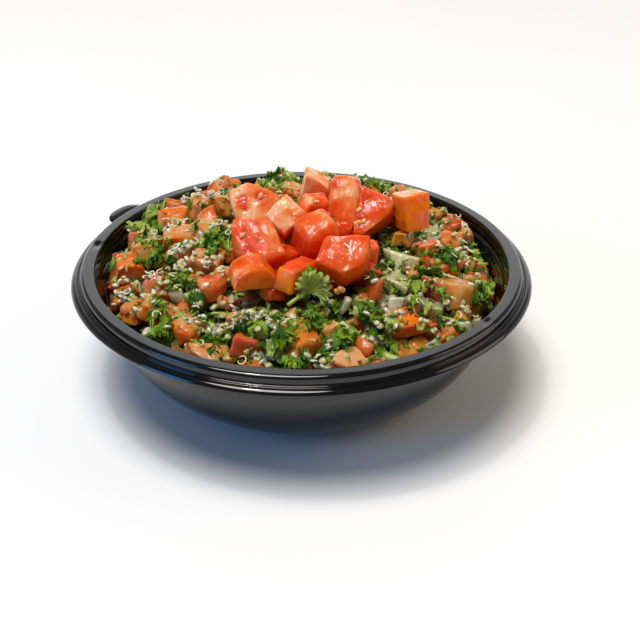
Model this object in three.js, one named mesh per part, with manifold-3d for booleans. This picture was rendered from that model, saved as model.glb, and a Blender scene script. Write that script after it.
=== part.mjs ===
// Tabbouleh heaped in a round takeaway bowl of thin black plastic, with a pile of cut tomato and a
// sprig of parsley on top.
// Millimetres, +Z up. The origin is the middle of the bowl's foot, on the table.

import * as THREE from "three";
import { mergeVertices } from "three/addons/utils/BufferGeometryUtils.js";
import Module from "manifold-3d";

const wasm = await Module();
wasm.setup();

// ---- driving dimensions: the bowl ----
const BOWL_HEIGHT = 50; // table to the top of the flange
const LIP_RADIUS = 92; // half of the 184 mm across the lip
const LIP_DROP = 5.2; // flange top down to the skirt's lower edge
const LEDGE_DROP = 3.2; // flange top down to the ledge that the lid snaps over
const LEDGE_RADIUS = 88.6; // where the ledge meets the sloped wall of the flange
const FLANGE_OUTER = 87;
const FLANGE_INNER = 82.6;
const WALL_TOP = 41; // height where the curved wall ends and the stacking steps begin
const WALL_RADIUS = 79.3; // outside of the curved wall at that height
const STEP_RADIUS = 80.7; // inside of the stacking step above it
const FOOT_RADIUS = 40;
const FOOT_RING = 10; // width of the flat ring that the bowl stands on
const FOOT_RECESS = 1.2; // how far the middle of the foot is pushed up
const SHEET = 0.8; // thickness of the formed sheet
const EDGE_ROUND = 0.7; // radius of the formed corners
const STEP_HEIGHT = 4.2; // of the slope from the curved wall out to the stacking step
const BOWL_FACETS = 48;
const WALL_STEPS = 8; // facets up the curved wall
const TAB_ANGLE = 148; // degrees from +X to the middle of the lid tab
const TAB_SPAN = 14; // degrees that the tab takes up
const TAB_REACH = 6.5; // how far the tab stands out of the lip
const TAB_THICKNESS = 1;

// ---- driving dimensions: the heap ----
const CLEARANCE = 0.6; // air between the food and the sheet
const NODE_GAP = 0.35; // air between neighbouring pieces
const HEAP_RADIUS = 78;
const HEAP_EDGE = 43.8; // mean height of the food where it meets the wall
const HEAP_DOME = 19; // rise from that edge to the middle
const HEAP_POWER = 2.2; // how flat the top of the dome is
const REAR_RISE = 6.2; // the food stands this much higher where it meets the wall at the back
const FRONT_FALL = 3; // and this much lower at the front
const HOLLOW = { x: 77, y: 4, depth: 9, spread: 8 }; // a gap by the wall, on the right
const CORE_SINK = 3; // the bare core lies this far below the tops of the pieces
const CORE_FACETS = 32;
const DOME_RINGS = 7;
const SPOTS = 158; // small pieces laid in a spiral over the heap
const SPOT_SCATTER = 1.5; // how far each lies off the spiral
const HOLLOW_ROOM = 13; // no small pieces within this distance of the hollow's middle
const DICE_SHARE = 0.1; // of the small pieces at the front, where large dice are listed below
const REAR_DICE_SHARE = 0.3; // of those behind REAR_FROM
const REAR_FROM = 12;
const LEAF_SHARE = 0.27;
const STEM_SHARE = 0.03;
const LARGE_SINK = 0.4; // share of its height that a listed die sinks into the core
const SMALL_SINK = 0.5;
const GRAIN_SINK = 0.35;
const LEAF_BIT_THICKNESS = 0.7;
const OUT_OF_TRUE = [0.86, 1.12]; // how far a die's corners lie from their place, as a share

// Tomato diced into the mix: [x, y, width, depth, height, turn in degrees].
const DICE = [
  [-71, -8, 10, 9, 9, 12],
  [-61, -2, 14, 9, 9, -20],
  [-48, 3, 12, 9, 8, 8],
  [-48, -12, 8, 7, 7, 35],
  [-53, 35, 10, 8, 8, 15],
  [-42, 27, 9, 9, 9, 20],
  [-35, 25, 8, 9, 9, -12],
  [-34, -1, 14, 10, 8, 25],
  [-36, -20, 11, 9, 8, -15],
  [-56, -26, 10, 9, 8, 30],
  [-53, -41, 10, 8, 7, -8],
  [-64, -37, 6, 12, 7, -20],
  [-32, -35, 8, 8, 7, 20],
  [-43, -49, 12, 9, 7, -25],
  [-32, -63, 12, 8, 7, 8],
  [0, -60, 12, 11, 10, 40],
  [-3, -51, 5, 5, 5, 10],
  [11, -55, 6, 6, 6, 35],
  [19, -68, 10, 8, 8, -10],
  [-18, -62, 12, 6, 8, 25],
  [-17, -71, 7, 6, 5, 5],
  [41, -62, 6, 5, 6, -35],
  [62, 26, 6, 8, 8, 20],
  [69, 28, 11, 11, 9, -38],
  [49, -4, 8, 7, 6, 10],
  [58, 5, 7, 7, 6, 40],
  [57, -26, 10, 18, 9, -30],
  [36, -49, 13, 9, 8, 12],
  [53, -48, 8, 8, 7, 30],
  [38, 2, 9, 8, 7, -10],
];

// White onion and pale cucumber in the mix, in the same terms.
const PALE_DICE = [
  [-62, 10, 8, 6, 5, 35],
  [-46, -36, 5, 4, 8, 10],
  [-37, -38, 4, 4, 7, -15],
  [-14, -57, 7, 5, 4, 5],
  [-8, -65, 9, 5, 5, -8],
  [17, -45, 3, 4, 7, 5],
  [21, -44, 3, 4, 8, -10],
  [37, -15, 10, 9, 9, 6],
  [35, -29, 11, 9, 8, -12],
  [53, 8, 6, 6, 6, 30],
  [50, -39, 8, 6, 6, -25],
  [36, -41, 5, 5, 6, 30],
  [43, -38, 6, 5, 5, -20],
  [61, -43, 10, 5, 5, 20],
  [49, -56, 5, 4, 5, 40],
  [36, 56, 7, 6, 6, 15],
];

// The pile on top. Each chunk is a block cut by knife: `at` is its middle, `size` its width, depth and
// height, `turn` its pitch, roll and yaw in degrees (the yaw comes first), `pinch` how much narrower
// its top is than its bottom in width and in depth, and `lean` how far its top is shifted. Each of its
// `cuts` is one more stroke of the knife, before it is turned: which way the cut face looks and how far
// it lies from the middle. The chunks listed first keep their form where two touch, and the later ones
// are cut to fit them.
const PILE = {
  tomato_front_right: {
    at: [16.4, -32.5, 68], size: [18, 22, 13], turn: [40, 0, -24], pinch: [0.1, 0.1], lean: [0, 0],
    cuts: [[-0.407, 0.914, 0, 5], [0.914, 0.407, 0, 9.8], [0.75, -0.66, 0, 10]],
  },
  tomato_kite: {
    at: [-6, -10, 72], size: [13, 12, 11], turn: [50, 0, 45], pinch: [0.1, 0.1], lean: [0, 0],
    cuts: [],
  },
  tomato_far_right: {
    at: [43.3, 3.4, 69], size: [9.8, 11, 14.6], turn: [-12, -6, 25], pinch: [-0.2, 0.05], lean: [0, 0],
    cuts: [],
  },
  tomato_left: {
    at: [-17, -23.7, 68], size: [17, 25, 13], turn: [40, 0, 26], pinch: [0.1, 0.1], lean: [0, 0],
    cuts: [[0.438, 0.899, 0, 7.7], [-0.899, 0.438, 0, 9.5]],
  },
  tomato_front_left: {
    at: [-17, -41, 65], size: [16, 11, 9], turn: [10, 8, 18], pinch: [0.1, 0.15], lean: [0, 0],
    cuts: [[0.75, 0, 0.66, 5.6], [-0.5, 0, 0.866, 4.9]],
  },
  tomato_right: {
    at: [26.3, 4.5, 65], size: [17, 22, 11], turn: [45, 0, -25], pinch: [0.1, 0.1], lean: [0, 0],
    cuts: [[0.893, -0.451, 0, 5.8], [-0.965, -0.261, 0, 5.1]],
  },
  tomato_tall: {
    at: [17.3, 8.2, 68.2], size: [12, 10, 25], turn: [-40, 0, 6], pinch: [-0.1, 0.1], lean: [0, 0],
    cuts: [],
  },
  tomato_peak: {
    at: [6, 17, 71], size: [13, 11, 16], turn: [5, 14, 0], pinch: [0.25, 0.2], lean: [-2, 0],
    cuts: [[0.35, 0, 0.937, 6.6]],
  },
  tomato_rear_left: {
    at: [-20, 11.8, 66.8], size: [23, 18, 10], turn: [50, 0, 0], pinch: [0.05, 0.05], lean: [0, 0],
    cuts: [
      [-0.518, 0.856, 0, 9.1],
      [0.36, 0.933, 0, 7.4],
      [-0.966, -0.257, 0, 8.5],
    ],
  },
  tomato_centre: {
    at: [6, -19, 68], size: [17, 16, 18], turn: [25, -5, 30], pinch: [0.2, 0.2], lean: [0, 0],
    cuts: [],
  },
  tomato_core: {
    at: [5, -3.5, 72.5], size: [11, 10, 11], turn: [10, 12, 20], pinch: [0.2, 0.2], lean: [0, 0],
    cuts: [],
  },
  tomato_low_slice: {
    at: [-1.5, -37, 61.5], size: [9, 19, 9], turn: [-5, 10, -30], pinch: [0.2, 0.1], lean: [0, 0],
    cuts: [],
  },
  tomato_small_right: {
    at: [26, -22, 63], size: [6, 8, 9], turn: [0, 8, 8], pinch: [0.1, 0.1], lean: [0, 0],
    cuts: [],
  },
};
const CROWN = 0.08; // how proud the middle of a chunk's face stands, as a share of its distance

// The sprig tucked in front of the pile.
const LEAF_RADIUS = 7.5;
const LEAF_THICKNESS = 0.8;
const LEAF_SPOKES = 30;
const LEAF_RUFFLE = 0.9; // how far its edge waves up and down, once for each lobe
const LEAF_DROOP = 0.8; // how far its edge hangs below its middle
const SPRIG = { at: [4, -45, 61], turn: [48, 0, 10] };
const STEM_RADIUS = 0.8;
const STEM_END = [-9, -6, -1]; // where the sprig's stem ends, from the middle of the leaf

// ---- colours ----
const FINISH = {
  plastic: { color: 0x17181a, roughness: 0.22, metalness: 0 },
  salad: { color: 0x6f8a3a, roughness: 0.5, metalness: 0 },
  tomato: { color: 0xe8583c, roughness: 0.25, metalness: 0 },
  parsley: { color: 0x3f8a24, roughness: 0.5, metalness: 0 },
};

// ---- helpers ----
const rad = THREE.MathUtils.degToRad;

// A repeatable stream of numbers from 0 to 1.
function seeded(seed) {
  let state = seed;
  return () => {
    state = (state + 0x6d2b79f5) | 0;
    let t = Math.imul(state ^ (state >>> 15), 1 | state);
    t = (t + Math.imul(t ^ (t >>> 7), 61 | t)) ^ t;
    return ((t ^ (t >>> 14)) >>> 0) / 4294967296;
  };
}

const between = (rand, low, high) => low + (high - low) * rand();

function solidOf(geometry) {
  const bare = geometry.clone();
  bare.deleteAttribute("normal");
  bare.deleteAttribute("uv");
  const merged = mergeVertices(bare, 1e-4);
  return new wasm.Manifold(
    new wasm.Mesh({
      numProp: 3,
      vertProperties: new Float32Array(merged.attributes.position.array),
      triVerts: new Uint32Array(merged.index.array),
    }),
  );
}

// The largest closed body of a solid. Loose scraps and sealed pockets are dropped.
function largestBody(solid) {
  return solid.decompose().reduce((best, body) => (body.volume() > best.volume() ? body : best));
}

function geometryOf(solid) {
  const made = solid.getMesh();
  const geometry = new THREE.BufferGeometry();
  geometry.setAttribute("position", new THREE.BufferAttribute(made.vertProperties, 3));
  geometry.setIndex(new THREE.BufferAttribute(made.triVerts, 1));
  return geometry;
}

function meshOf(name, solid, finish) {
  const geometry = geometryOf(solid);
  geometry.computeVertexNormals();
  const mesh = new THREE.Mesh(geometry, new THREE.MeshStandardMaterial(finish));
  mesh.name = name;
  return mesh;
}

// Moves every vertex of a geometry by a function of its position.
function reshape(geometry, move) {
  const points = geometry.attributes.position;
  const p = new THREE.Vector3();
  for (let i = 0; i < points.count; i++) {
    p.fromBufferAttribute(points, i);
    move(p);
    points.setXYZ(i, p.x, p.y, p.z);
  }
  return geometry;
}

// LatheGeometry turns about Y, so a profile of [radius, height] pairs is stood up on Z. A bottom-up
// outside followed by a top-down inside faces out.
function lathe(profile, facets) {
  const outline = profile.map(([radius, height]) => new THREE.Vector2(radius, height));
  return new THREE.LatheGeometry(outline, facets).rotateX(Math.PI / 2);
}

// ---- the bowl ----
// Points along a quarter ellipse from the foot up to the top of the curved wall.
function wallCurve(inset, steps) {
  const points = [];
  for (let i = 0; i <= steps; i++) {
    const t = (Math.PI / 2) * (1 - i / steps);
    const radius = FOOT_RADIUS + (WALL_RADIUS - inset - FOOT_RADIUS) * Math.cos(t);
    points.push([radius, WALL_TOP - (WALL_TOP - inset) * Math.sin(t)]);
  }
  return points;
}

// Inside radius of the bowl at a height.
function insideRadius(z) {
  if (z >= WALL_TOP + STEP_HEIGHT) return STEP_RADIUS;
  if (z >= WALL_TOP) return WALL_RADIUS - SHEET;
  const fall = Math.min((WALL_TOP - z) / (WALL_TOP - SHEET), 1);
  return FOOT_RADIUS + (WALL_RADIUS - SHEET - FOOT_RADIUS) * Math.sqrt(1 - fall * fall);
}

function bowlSolid() {
  const top = BOWL_HEIGHT;
  const ledge = top - LEDGE_DROP;
  const ringInside = FOOT_RADIUS - FOOT_RING;
  const outside = [
    [0, FOOT_RECESS],
    [ringInside - FOOT_RECESS, FOOT_RECESS],
    [ringInside, 0],
    ...wallCurve(0, WALL_STEPS),
    [STEP_RADIUS + SHEET, WALL_TOP + STEP_HEIGHT],
    [STEP_RADIUS + SHEET, ledge - SHEET],
    [LIP_RADIUS - SHEET, ledge - SHEET],
    [LIP_RADIUS - SHEET, top - LIP_DROP],
    [LIP_RADIUS, top - LIP_DROP],
    [LIP_RADIUS, ledge - EDGE_ROUND],
    [LIP_RADIUS - EDGE_ROUND, ledge],
    [LEDGE_RADIUS, ledge],
    [FLANGE_OUTER + EDGE_ROUND, top - EDGE_ROUND],
    [FLANGE_OUTER, top],
    [FLANGE_INNER + EDGE_ROUND, top],
    [FLANGE_INNER, top - EDGE_ROUND],
    [STEP_RADIUS + EDGE_ROUND, WALL_TOP + STEP_HEIGHT + EDGE_ROUND],
    [STEP_RADIUS, WALL_TOP + STEP_HEIGHT],
  ];
  const inside = wallCurve(SHEET, WALL_STEPS).reverse();
  const recess = [
    [ringInside, SHEET],
    [ringInside - FOOT_RECESS, FOOT_RECESS + SHEET],
    [0, FOOT_RECESS + SHEET],
  ];
  const shell = solidOf(lathe([...outside, ...inside, ...recess], BOWL_FACETS));
  return shell.add(lidTab());
}

// The thumb tab that helps the lid off: a flat rounded tongue on the ledge.
function lidTab() {
  const tongue = new THREE.Shape();
  const root = LEDGE_RADIUS + EDGE_ROUND;
  const tip = LIP_RADIUS + TAB_REACH;
  const shoulder = tip + TAB_THICKNESS;
  const half = root * Math.tan(rad(TAB_SPAN / 2));
  tongue.moveTo(root, -half);
  tongue.quadraticCurveTo(shoulder, -half * 0.75, tip, 0);
  tongue.quadraticCurveTo(shoulder, half * 0.75, root, half);
  const flat = new THREE.ExtrudeGeometry(tongue, {
    depth: TAB_THICKNESS,
    bevelEnabled: false,
    curveSegments: 5,
  });
  flat.rotateZ(rad(TAB_ANGLE));
  flat.translate(0, 0, BOWL_HEIGHT - LEDGE_DROP - EDGE_ROUND - TAB_THICKNESS);
  return solidOf(flat);
}

// ---- the heap ----
// Height of the tops of the mixed pieces over the table.
function heapHeight(x, y) {
  const reach = Math.min(Math.hypot(x, y) / HEAP_RADIUS, 1);
  const edge = HEAP_EDGE + ((y > 0 ? REAR_RISE : FRONT_FALL) * y) / HEAP_RADIUS;
  const away = (x - HOLLOW.x) ** 2 + (y - HOLLOW.y) ** 2;
  const hollow = HOLLOW.depth * Math.exp(-away / (2 * HOLLOW.spread ** 2));
  return edge + HEAP_DOME * (1 - reach ** HEAP_POWER) - hollow;
}

// Uneven lumps, a few millimetres high, on top of the smooth dome.
function lumps(x, y) {
  return 0.8 * Math.sin(x / 5.3 + 1) * Math.cos(y / 4.7) + 0.6 * Math.sin((x + y) / 8.1 + 2);
}

// The bare core: it fills the bowl and has the heap's outline, a little lower. Its topmost ring on the
// wall rises and falls with the heap.
function heapCore() {
  const floor = SHEET + FOOT_RECESS + CLEARANCE;
  const onDome = BOWL_HEIGHT + HEAP_DOME; // a stand-in height that marks the rings of the dome
  const wall = wallCurve(SHEET + CLEARANCE, WALL_STEPS - 1).filter(([, height]) => height > floor + 1);
  const dome = [];
  for (let i = DOME_RINGS - 1; i >= 0; i--) {
    dome.push([HEAP_RADIUS * Math.sin((Math.PI / 2) * (i / DOME_RINGS)), onDome]);
  }
  const geometry = lathe([[0, floor], [FOOT_RADIUS, floor], ...wall, ...dome], CORE_FACETS);
  reshape(geometry, (p) => {
    const cap = heapHeight(p.x, p.y) - CORE_SINK + lumps(p.x, p.y);
    if (p.z === onDome) {
      p.z = cap;
    } else if (p.z > WALL_TOP - 1) {
      const fit = (insideRadius(Math.min(cap, WALL_TOP)) - CLEARANCE) / Math.hypot(p.x, p.y);
      p.set(p.x * fit, p.y * fit, cap);
    }
  });
  return solidOf(geometry);
}

// ---- the pieces in the heap ----
// A cut cube whose corners are a little out of true.
function cutDice(rand, width, depth, height) {
  const geometry = new THREE.BoxGeometry(width, depth, height);
  geometry.deleteAttribute("normal");
  geometry.deleteAttribute("uv");
  return reshape(mergeVertices(geometry), (p) => {
    p.x *= between(rand, ...OUT_OF_TRUE);
    p.y *= between(rand, ...OUT_OF_TRUE);
    p.z *= between(rand, ...OUT_OF_TRUE);
  });
}

// A grain of quinoa: a fat disc of few sides.
function grain(rand, size) {
  const flat = between(rand, 0.55, 0.8);
  return new THREE.IcosahedronGeometry(size / 2, 0).scale(1, 1, flat);
}

// A bit of curly parsley: a thin wavy solid, its two faces split alike.
function leafBit(rand, length, width) {
  const leaf = new THREE.BoxGeometry(length, width, LEAF_BIT_THICKNESS, 3, 2, 1);
  const phase = between(rand, 0, 2 * Math.PI);
  return reshape(leaf, (p) => {
    const along = p.x / length;
    const taper = 1 - 0.55 * (2 * along) ** 2;
    p.z += 0.16 * width * Math.sin(7 * along + phase) + 0.25 * Math.abs(p.y);
    p.y *= taper;
  });
}

// A short length of stem.
function stemBit(length, radius) {
  return new THREE.CylinderGeometry(radius, radius * 0.8, length, 6).rotateZ(Math.PI / 2);
}

// Lays a piece on the heap: tilted, turned, and sunk into the core by a share of its own height.
function layOnHeap(geometry, { x, y, turn, tilt, sink }) {
  geometry.computeBoundingBox();
  const tall = geometry.boundingBox.max.z - geometry.boundingBox.min.z;
  geometry.rotateX(rad(tilt[0])).rotateY(rad(tilt[1])).rotateZ(rad(turn));
  return geometry.translate(x, y, heapHeight(x, y) - CORE_SINK + tall * (0.5 - sink));
}

// True if a piece keeps inside the bowl.
function insideBowl(geometry) {
  const points = geometry.attributes.position;
  for (let i = 0; i < points.count; i++) {
    const wall = insideRadius(points.getZ(i)) - CLEARANCE;
    if (Math.hypot(points.getX(i), points.getY(i)) > wall) return false;
  }
  return true;
}

// Moves a piece in towards the middle until it keeps inside the bowl.
function fitInBowl(geometry, x, y) {
  const away = Math.hypot(x, y);
  for (let tries = 0; tries < 8; tries++) {
    if (insideBowl(geometry)) return geometry;
    geometry.translate((-x / away) * 0.8, (-y / away) * 0.8, 0);
  }
  return null;
}

// Every piece in the heap that shows, as geometries: the large ones where they lie, then the small
// ones in a spiral that spaces them evenly.
function heapPieces() {
  const rand = seeded(7);
  const pieces = [];
  const lay = (geometry, x, y, turn, sink, lean = 10) => {
    const tilt = [between(rand, -lean, lean), between(rand, -lean, lean)];
    const laid = fitInBowl(layOnHeap(geometry, { x, y, turn, tilt, sink }), x, y);
    if (laid) pieces.push(laid);
  };
  for (const [x, y, width, depth, height, turn] of [...DICE, ...PALE_DICE]) {
    lay(cutDice(rand, width, depth, height), x, y, turn, LARGE_SINK);
  }
  const clear = (x, y, room) =>
    [...DICE, ...PALE_DICE].every(([px, py, w]) => Math.hypot(px - x, py - y) > w / 2 + room);
  const golden = Math.PI * (3 - Math.sqrt(5));
  for (let i = 0; i < SPOTS; i++) {
    const radius = (HEAP_RADIUS - 3) * Math.sqrt((i + 0.5) / SPOTS);
    const x = radius * Math.cos(i * golden) + between(rand, -SPOT_SCATTER, SPOT_SCATTER);
    const y = radius * Math.sin(i * golden) + between(rand, -SPOT_SCATTER, SPOT_SCATTER);
    const turn = between(rand, 0, 360);
    const draw = rand();
    const diced = y > REAR_FROM ? REAR_DICE_SHARE : DICE_SHARE;
    const room = Math.hypot(x - HOLLOW.x, y - HOLLOW.y) - HOLLOW_ROOM;
    if (room < 0) continue;
    if (draw < diced) {
      const width = between(rand, 5, 10);
      const free = clear(x, y, 2) && room > width;
      if (free) lay(cutDice(rand, width, width, 7), x, y, turn, SMALL_SINK);
    } else if (draw < diced + LEAF_SHARE) {
      const leaf = leafBit(rand, between(rand, 6, 10), between(rand, 4, 6));
      if (clear(x, y, 1)) lay(leaf, x, y, turn, SMALL_SINK, 35);
    } else if (draw < diced + LEAF_SHARE + STEM_SHARE) {
      if (clear(x, y, 1)) lay(stemBit(between(rand, 5, 9), 1), x, y, turn, LARGE_SINK);
    } else {
      lay(grain(rand, between(rand, 2.4, 3.2)), x, y, turn, GRAIN_SINK);
    }
  }
  return pieces;
}

function saladSolid(core, toppings) {
  let solid = core;
  for (const piece of heapPieces().map(solidOf)) {
    const blocked = toppings.some((topping) => piece.intersect(topping).volume() > 0);
    if (!blocked) solid = solid.add(piece);
  }
  return largestBody(solid);
}

// ---- the pile of tomato ----
// A block about the origin whose faces stand a little proud in the middle, as soft flesh does.
function crownedBlock(width, depth, height) {
  return reshape(new THREE.BoxGeometry(width, depth, height, 2, 2, 2), (p) => {
    const u = Math.abs((2 * p.x) / width);
    const v = Math.abs((2 * p.y) / depth);
    const w = Math.abs((2 * p.z) / height);
    p.multiplyScalar(1 + CROWN * (1 - u * v) * (1 - v * w) * (1 - u * w));
  });
}

// A chunk where it lies in the pile, larger by `grow` on every side.
function chunkSolid({ at, size, turn, pinch, lean, cuts }, grow) {
  const [width, depth, height] = size.map((side) => side + 2 * grow);
  let block = solidOf(crownedBlock(width, depth, height));
  for (const [x, y, z, distance] of cuts) block = block.trimByPlane([-x, -y, -z], -distance - grow);
  const geometry = reshape(geometryOf(block), (p) => {
    const up = p.z / height + 0.5;
    p.x = p.x * (1 - pinch[0] * up) + lean[0] * up;
    p.y = p.y * (1 - pinch[1] * up) + lean[1] * up;
  });
  geometry.applyMatrix4(new THREE.Matrix4().makeRotationFromEuler(new THREE.Euler(...turn.map(rad))));
  return solidOf(geometry.translate(...at));
}

// The chunks in order, each cut back from the core and from the chunks before it.
function pileSolids(core) {
  const raisedCore = core.translate([0, 0, NODE_GAP]);
  const grown = [];
  return Object.entries(PILE).map(([name, chunk]) => {
    let solid = chunkSolid(chunk, 0).subtract(raisedCore);
    for (const neighbour of grown) solid = solid.subtract(neighbour);
    grown.push(chunkSolid(chunk, NODE_GAP));
    return [name, largestBody(solid)];
  });
}

// ---- the sprig of parsley ----
// How far the leaf's edge lies from its middle, by the angle from its tip: five lobes with teeth.
function leafReach(angle) {
  const lobes = 0.6 + 0.4 * Math.abs(Math.cos(2.5 * angle)) ** 0.8;
  return LEAF_RADIUS * (lobes + 0.08 * Math.cos(15 * angle)) * (0.8 + 0.2 * Math.cos(angle));
}

// A lobed leaf, thin and wavy, with the same triangles on both faces.
function leafGeometry() {
  const half = LEAF_THICKNESS / 2;
  const profile = [[0, -half], [0.5, -half], [1, -half], [1, half], [0.5, half], [0, half]];
  return reshape(lathe(profile, LEAF_SPOKES), (p) => {
    const part = Math.hypot(p.x, p.y);
    const angle = Math.atan2(p.x, p.y);
    p.z += part * (LEAF_RUFFLE * Math.sin(5 * angle) - LEAF_DROOP * part);
    p.x = part * leafReach(angle) * Math.sin(angle);
    p.y = part * leafReach(angle) * Math.cos(angle);
  });
}

function sprigSolid(core, pile) {
  const stemLine = new THREE.CatmullRomCurve3([
    new THREE.Vector3(0, -1, 0),
    new THREE.Vector3(...STEM_END).multiplyScalar(0.45),
    new THREE.Vector3(...STEM_END),
  ]);
  const round = new THREE.Shape().absarc(0, 0, STEM_RADIUS, 0, 2 * Math.PI);
  const stem = new THREE.ExtrudeGeometry(round, { steps: 4, curveSegments: 3, extrudePath: stemLine });
  const place = (geometry) =>
    geometry
      .rotateX(rad(SPRIG.turn[0]))
      .rotateY(rad(SPRIG.turn[1]))
      .rotateZ(rad(SPRIG.turn[2]))
      .translate(...SPRIG.at);
  let solid = solidOf(place(leafGeometry())).add(solidOf(place(stem)));
  solid = solid.subtract(core.translate([0, 0, NODE_GAP]));
  for (const chunk of pile) solid = solid.subtract(chunk);
  return largestBody(solid);
}

// ---- the whole ----
const core = heapCore();
const pile = pileSolids(core);
const toppings = Object.values(PILE).map((chunk) => chunkSolid(chunk, NODE_GAP));
const sprig = sprigSolid(core, toppings);
const salad = saladSolid(core, [...toppings, sprig]);

const tabbouleh = new THREE.Group();
tabbouleh.add(meshOf("bowl", bowlSolid(), FINISH.plastic));
tabbouleh.add(meshOf("salad", salad, FINISH.salad));
for (const [name, solid] of pile) tabbouleh.add(meshOf(name, solid, FINISH.tomato));
tabbouleh.add(meshOf("parsley_sprig", sprig, FINISH.parsley));

export default tabbouleh;
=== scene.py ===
# %% [markdown]
# # Tabbouleh in a takeaway bowl
# A thin black plastic bowl is heaped with chopped tomato, curly parsley, white onion and sprouted
# quinoa, and topped with a pile of cut tomato and one sprig. No single shape makes it look real, so
# most of this lesson is about making a few kinds of small piece and letting them settle on each
# other.
#
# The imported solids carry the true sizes. They are loaded first, and every piece below stands where
# its solid stands.

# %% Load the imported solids
import math

import bpy
import numpy as np
from mathutils import Matrix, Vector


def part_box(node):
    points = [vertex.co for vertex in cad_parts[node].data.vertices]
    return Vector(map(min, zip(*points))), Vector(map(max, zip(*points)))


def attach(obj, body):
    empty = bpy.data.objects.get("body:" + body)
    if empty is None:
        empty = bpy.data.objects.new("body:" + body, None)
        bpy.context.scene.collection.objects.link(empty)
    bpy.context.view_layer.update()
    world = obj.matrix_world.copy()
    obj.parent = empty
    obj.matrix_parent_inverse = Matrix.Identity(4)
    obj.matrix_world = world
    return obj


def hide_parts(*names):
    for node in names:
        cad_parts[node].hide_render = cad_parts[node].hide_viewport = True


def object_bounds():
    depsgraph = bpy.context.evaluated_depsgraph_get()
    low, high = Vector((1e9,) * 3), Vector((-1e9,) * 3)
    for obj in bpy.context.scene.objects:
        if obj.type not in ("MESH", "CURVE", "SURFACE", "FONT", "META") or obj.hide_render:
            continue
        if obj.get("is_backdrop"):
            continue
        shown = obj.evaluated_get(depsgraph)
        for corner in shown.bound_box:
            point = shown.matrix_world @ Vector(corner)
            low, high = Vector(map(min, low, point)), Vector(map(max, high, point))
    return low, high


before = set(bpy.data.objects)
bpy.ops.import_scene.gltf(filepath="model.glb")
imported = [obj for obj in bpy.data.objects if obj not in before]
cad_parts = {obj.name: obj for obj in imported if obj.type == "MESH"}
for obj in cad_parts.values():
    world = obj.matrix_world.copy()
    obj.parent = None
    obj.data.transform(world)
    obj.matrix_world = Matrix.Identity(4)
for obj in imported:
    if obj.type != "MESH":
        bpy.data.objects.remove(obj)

MM = 0.001
cad_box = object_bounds()
_, bowl_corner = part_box("bowl")
RIM = bowl_corner.z / MM
LIP_RADIUS = bowl_corner.x / MM
rng = np.random.default_rng(11)
print(f"bowl: {2 * LIP_RADIUS:.1f} mm across, {RIM:.1f} mm high; {len(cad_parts)} solids")

# %% [markdown]
# ## The camera
# The bowl is seen from a little above, as someone sitting at the table sees it: about 47 cm away
# and 31 degrees down. A long lens keeps the rim's ellipse natural. The small roll is a hand-held
# camera's.

# %% Camera
FOCAL_LENGTH = 61.9
CAMERA_AT = (7.4, -394.9, 254.0)
LOOK_DOWN = 30.62
CAMERA_ROLL = 0.41

camera_data = bpy.data.cameras.new("camera")
camera_data.lens = FOCAL_LENGTH
camera_data.sensor_width = 36
camera_data.clip_start = 0.01
camera = bpy.data.objects.new("camera", camera_data)
bpy.context.scene.collection.objects.link(camera)
camera.matrix_world = (
    Matrix.Translation([v * MM for v in CAMERA_AT])
    @ Matrix.Rotation(math.radians(90 - LOOK_DOWN), 4, "X")
    @ Matrix.Rotation(math.radians(CAMERA_ROLL), 4, "Z")
)
bpy.context.scene.camera = camera
print(f"camera: {math.hypot(*CAMERA_AT) / 10:.0f} cm from the middle of the foot")

# %% [markdown]
# ## Helpers for materials
# Colours are written as the sRGB hex values that a paint program shows, and turned to the linear
# numbers that the shader works in. One function plugs values, colours and other nodes into a
# node's inputs, and one adds a node with its settings, so each material is a short list. A node
# given as an input stands for its first output.

# %% Colour and node helpers
def linear(colour):
    """The linear RGBA of an sRGB hex colour such as "e8694e". A number passes through."""
    if not isinstance(colour, str):
        return colour
    channels = [int(colour[i : i + 2], 16) / 255 for i in (0, 2, 4)]
    curve = [c / 12.92 if c <= 0.04045 else ((c + 0.055) / 1.055) ** 2.4 for c in channels]
    return (*curve, 1.0)


def plug(tree, node, inputs):
    """Links nodes to a node's inputs, and sets values and colours on its own sockets."""
    for key, value in inputs.items():
        if isinstance(value, bpy.types.Node):
            value = value.outputs[0]
        if isinstance(value, bpy.types.NodeSocket):
            tree.links.new(value, node.inputs[key])
        else:
            node.inputs[key].default_value = linear(value)


def add(tree, kind, inputs=None, stops=(), **settings):
    """Adds a node with its settings and inputs. Stops are the places and colours of a ramp."""
    node = tree.nodes.new("ShaderNode" + kind)
    for name, value in settings.items():
        setattr(node, name, value)
    plug(tree, node, inputs or {})
    for i, (at, colour) in enumerate(stops):
        elements = node.color_ramp.elements
        stop = elements[i] if i < 2 else elements.new(at)
        stop.position = at
        stop.color = linear(colour)
    return node


def new_material(name):
    """A material, its node tree, its shader and the place on the object for its patterns."""
    material = bpy.data.materials.new(name)
    material.use_nodes = True
    tree = material.node_tree
    place = add(tree, "TexCoord").outputs["Object"]
    return material, tree, tree.nodes["Principled BSDF"], place


def per_metre(size_mm):
    """The texture scale whose pattern repeats about every size_mm on the real thing."""
    return 1000 / size_mm


print("helpers: linear, plug, add, new_material, per_metre")

# %% [markdown]
# ## Black PET
# The bowl is vacuum formed from a sheet of black PET. The tool side is polished, so it is a clear
# gloss over a deep black: it has almost no colour of its own and shows the room. Its index is
# about 1.57. The sheet stretches unevenly as it is drawn, which leaves a faint waviness some
# 15 mm long in the reflections, and handling leaves patches that are a little duller.

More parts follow.
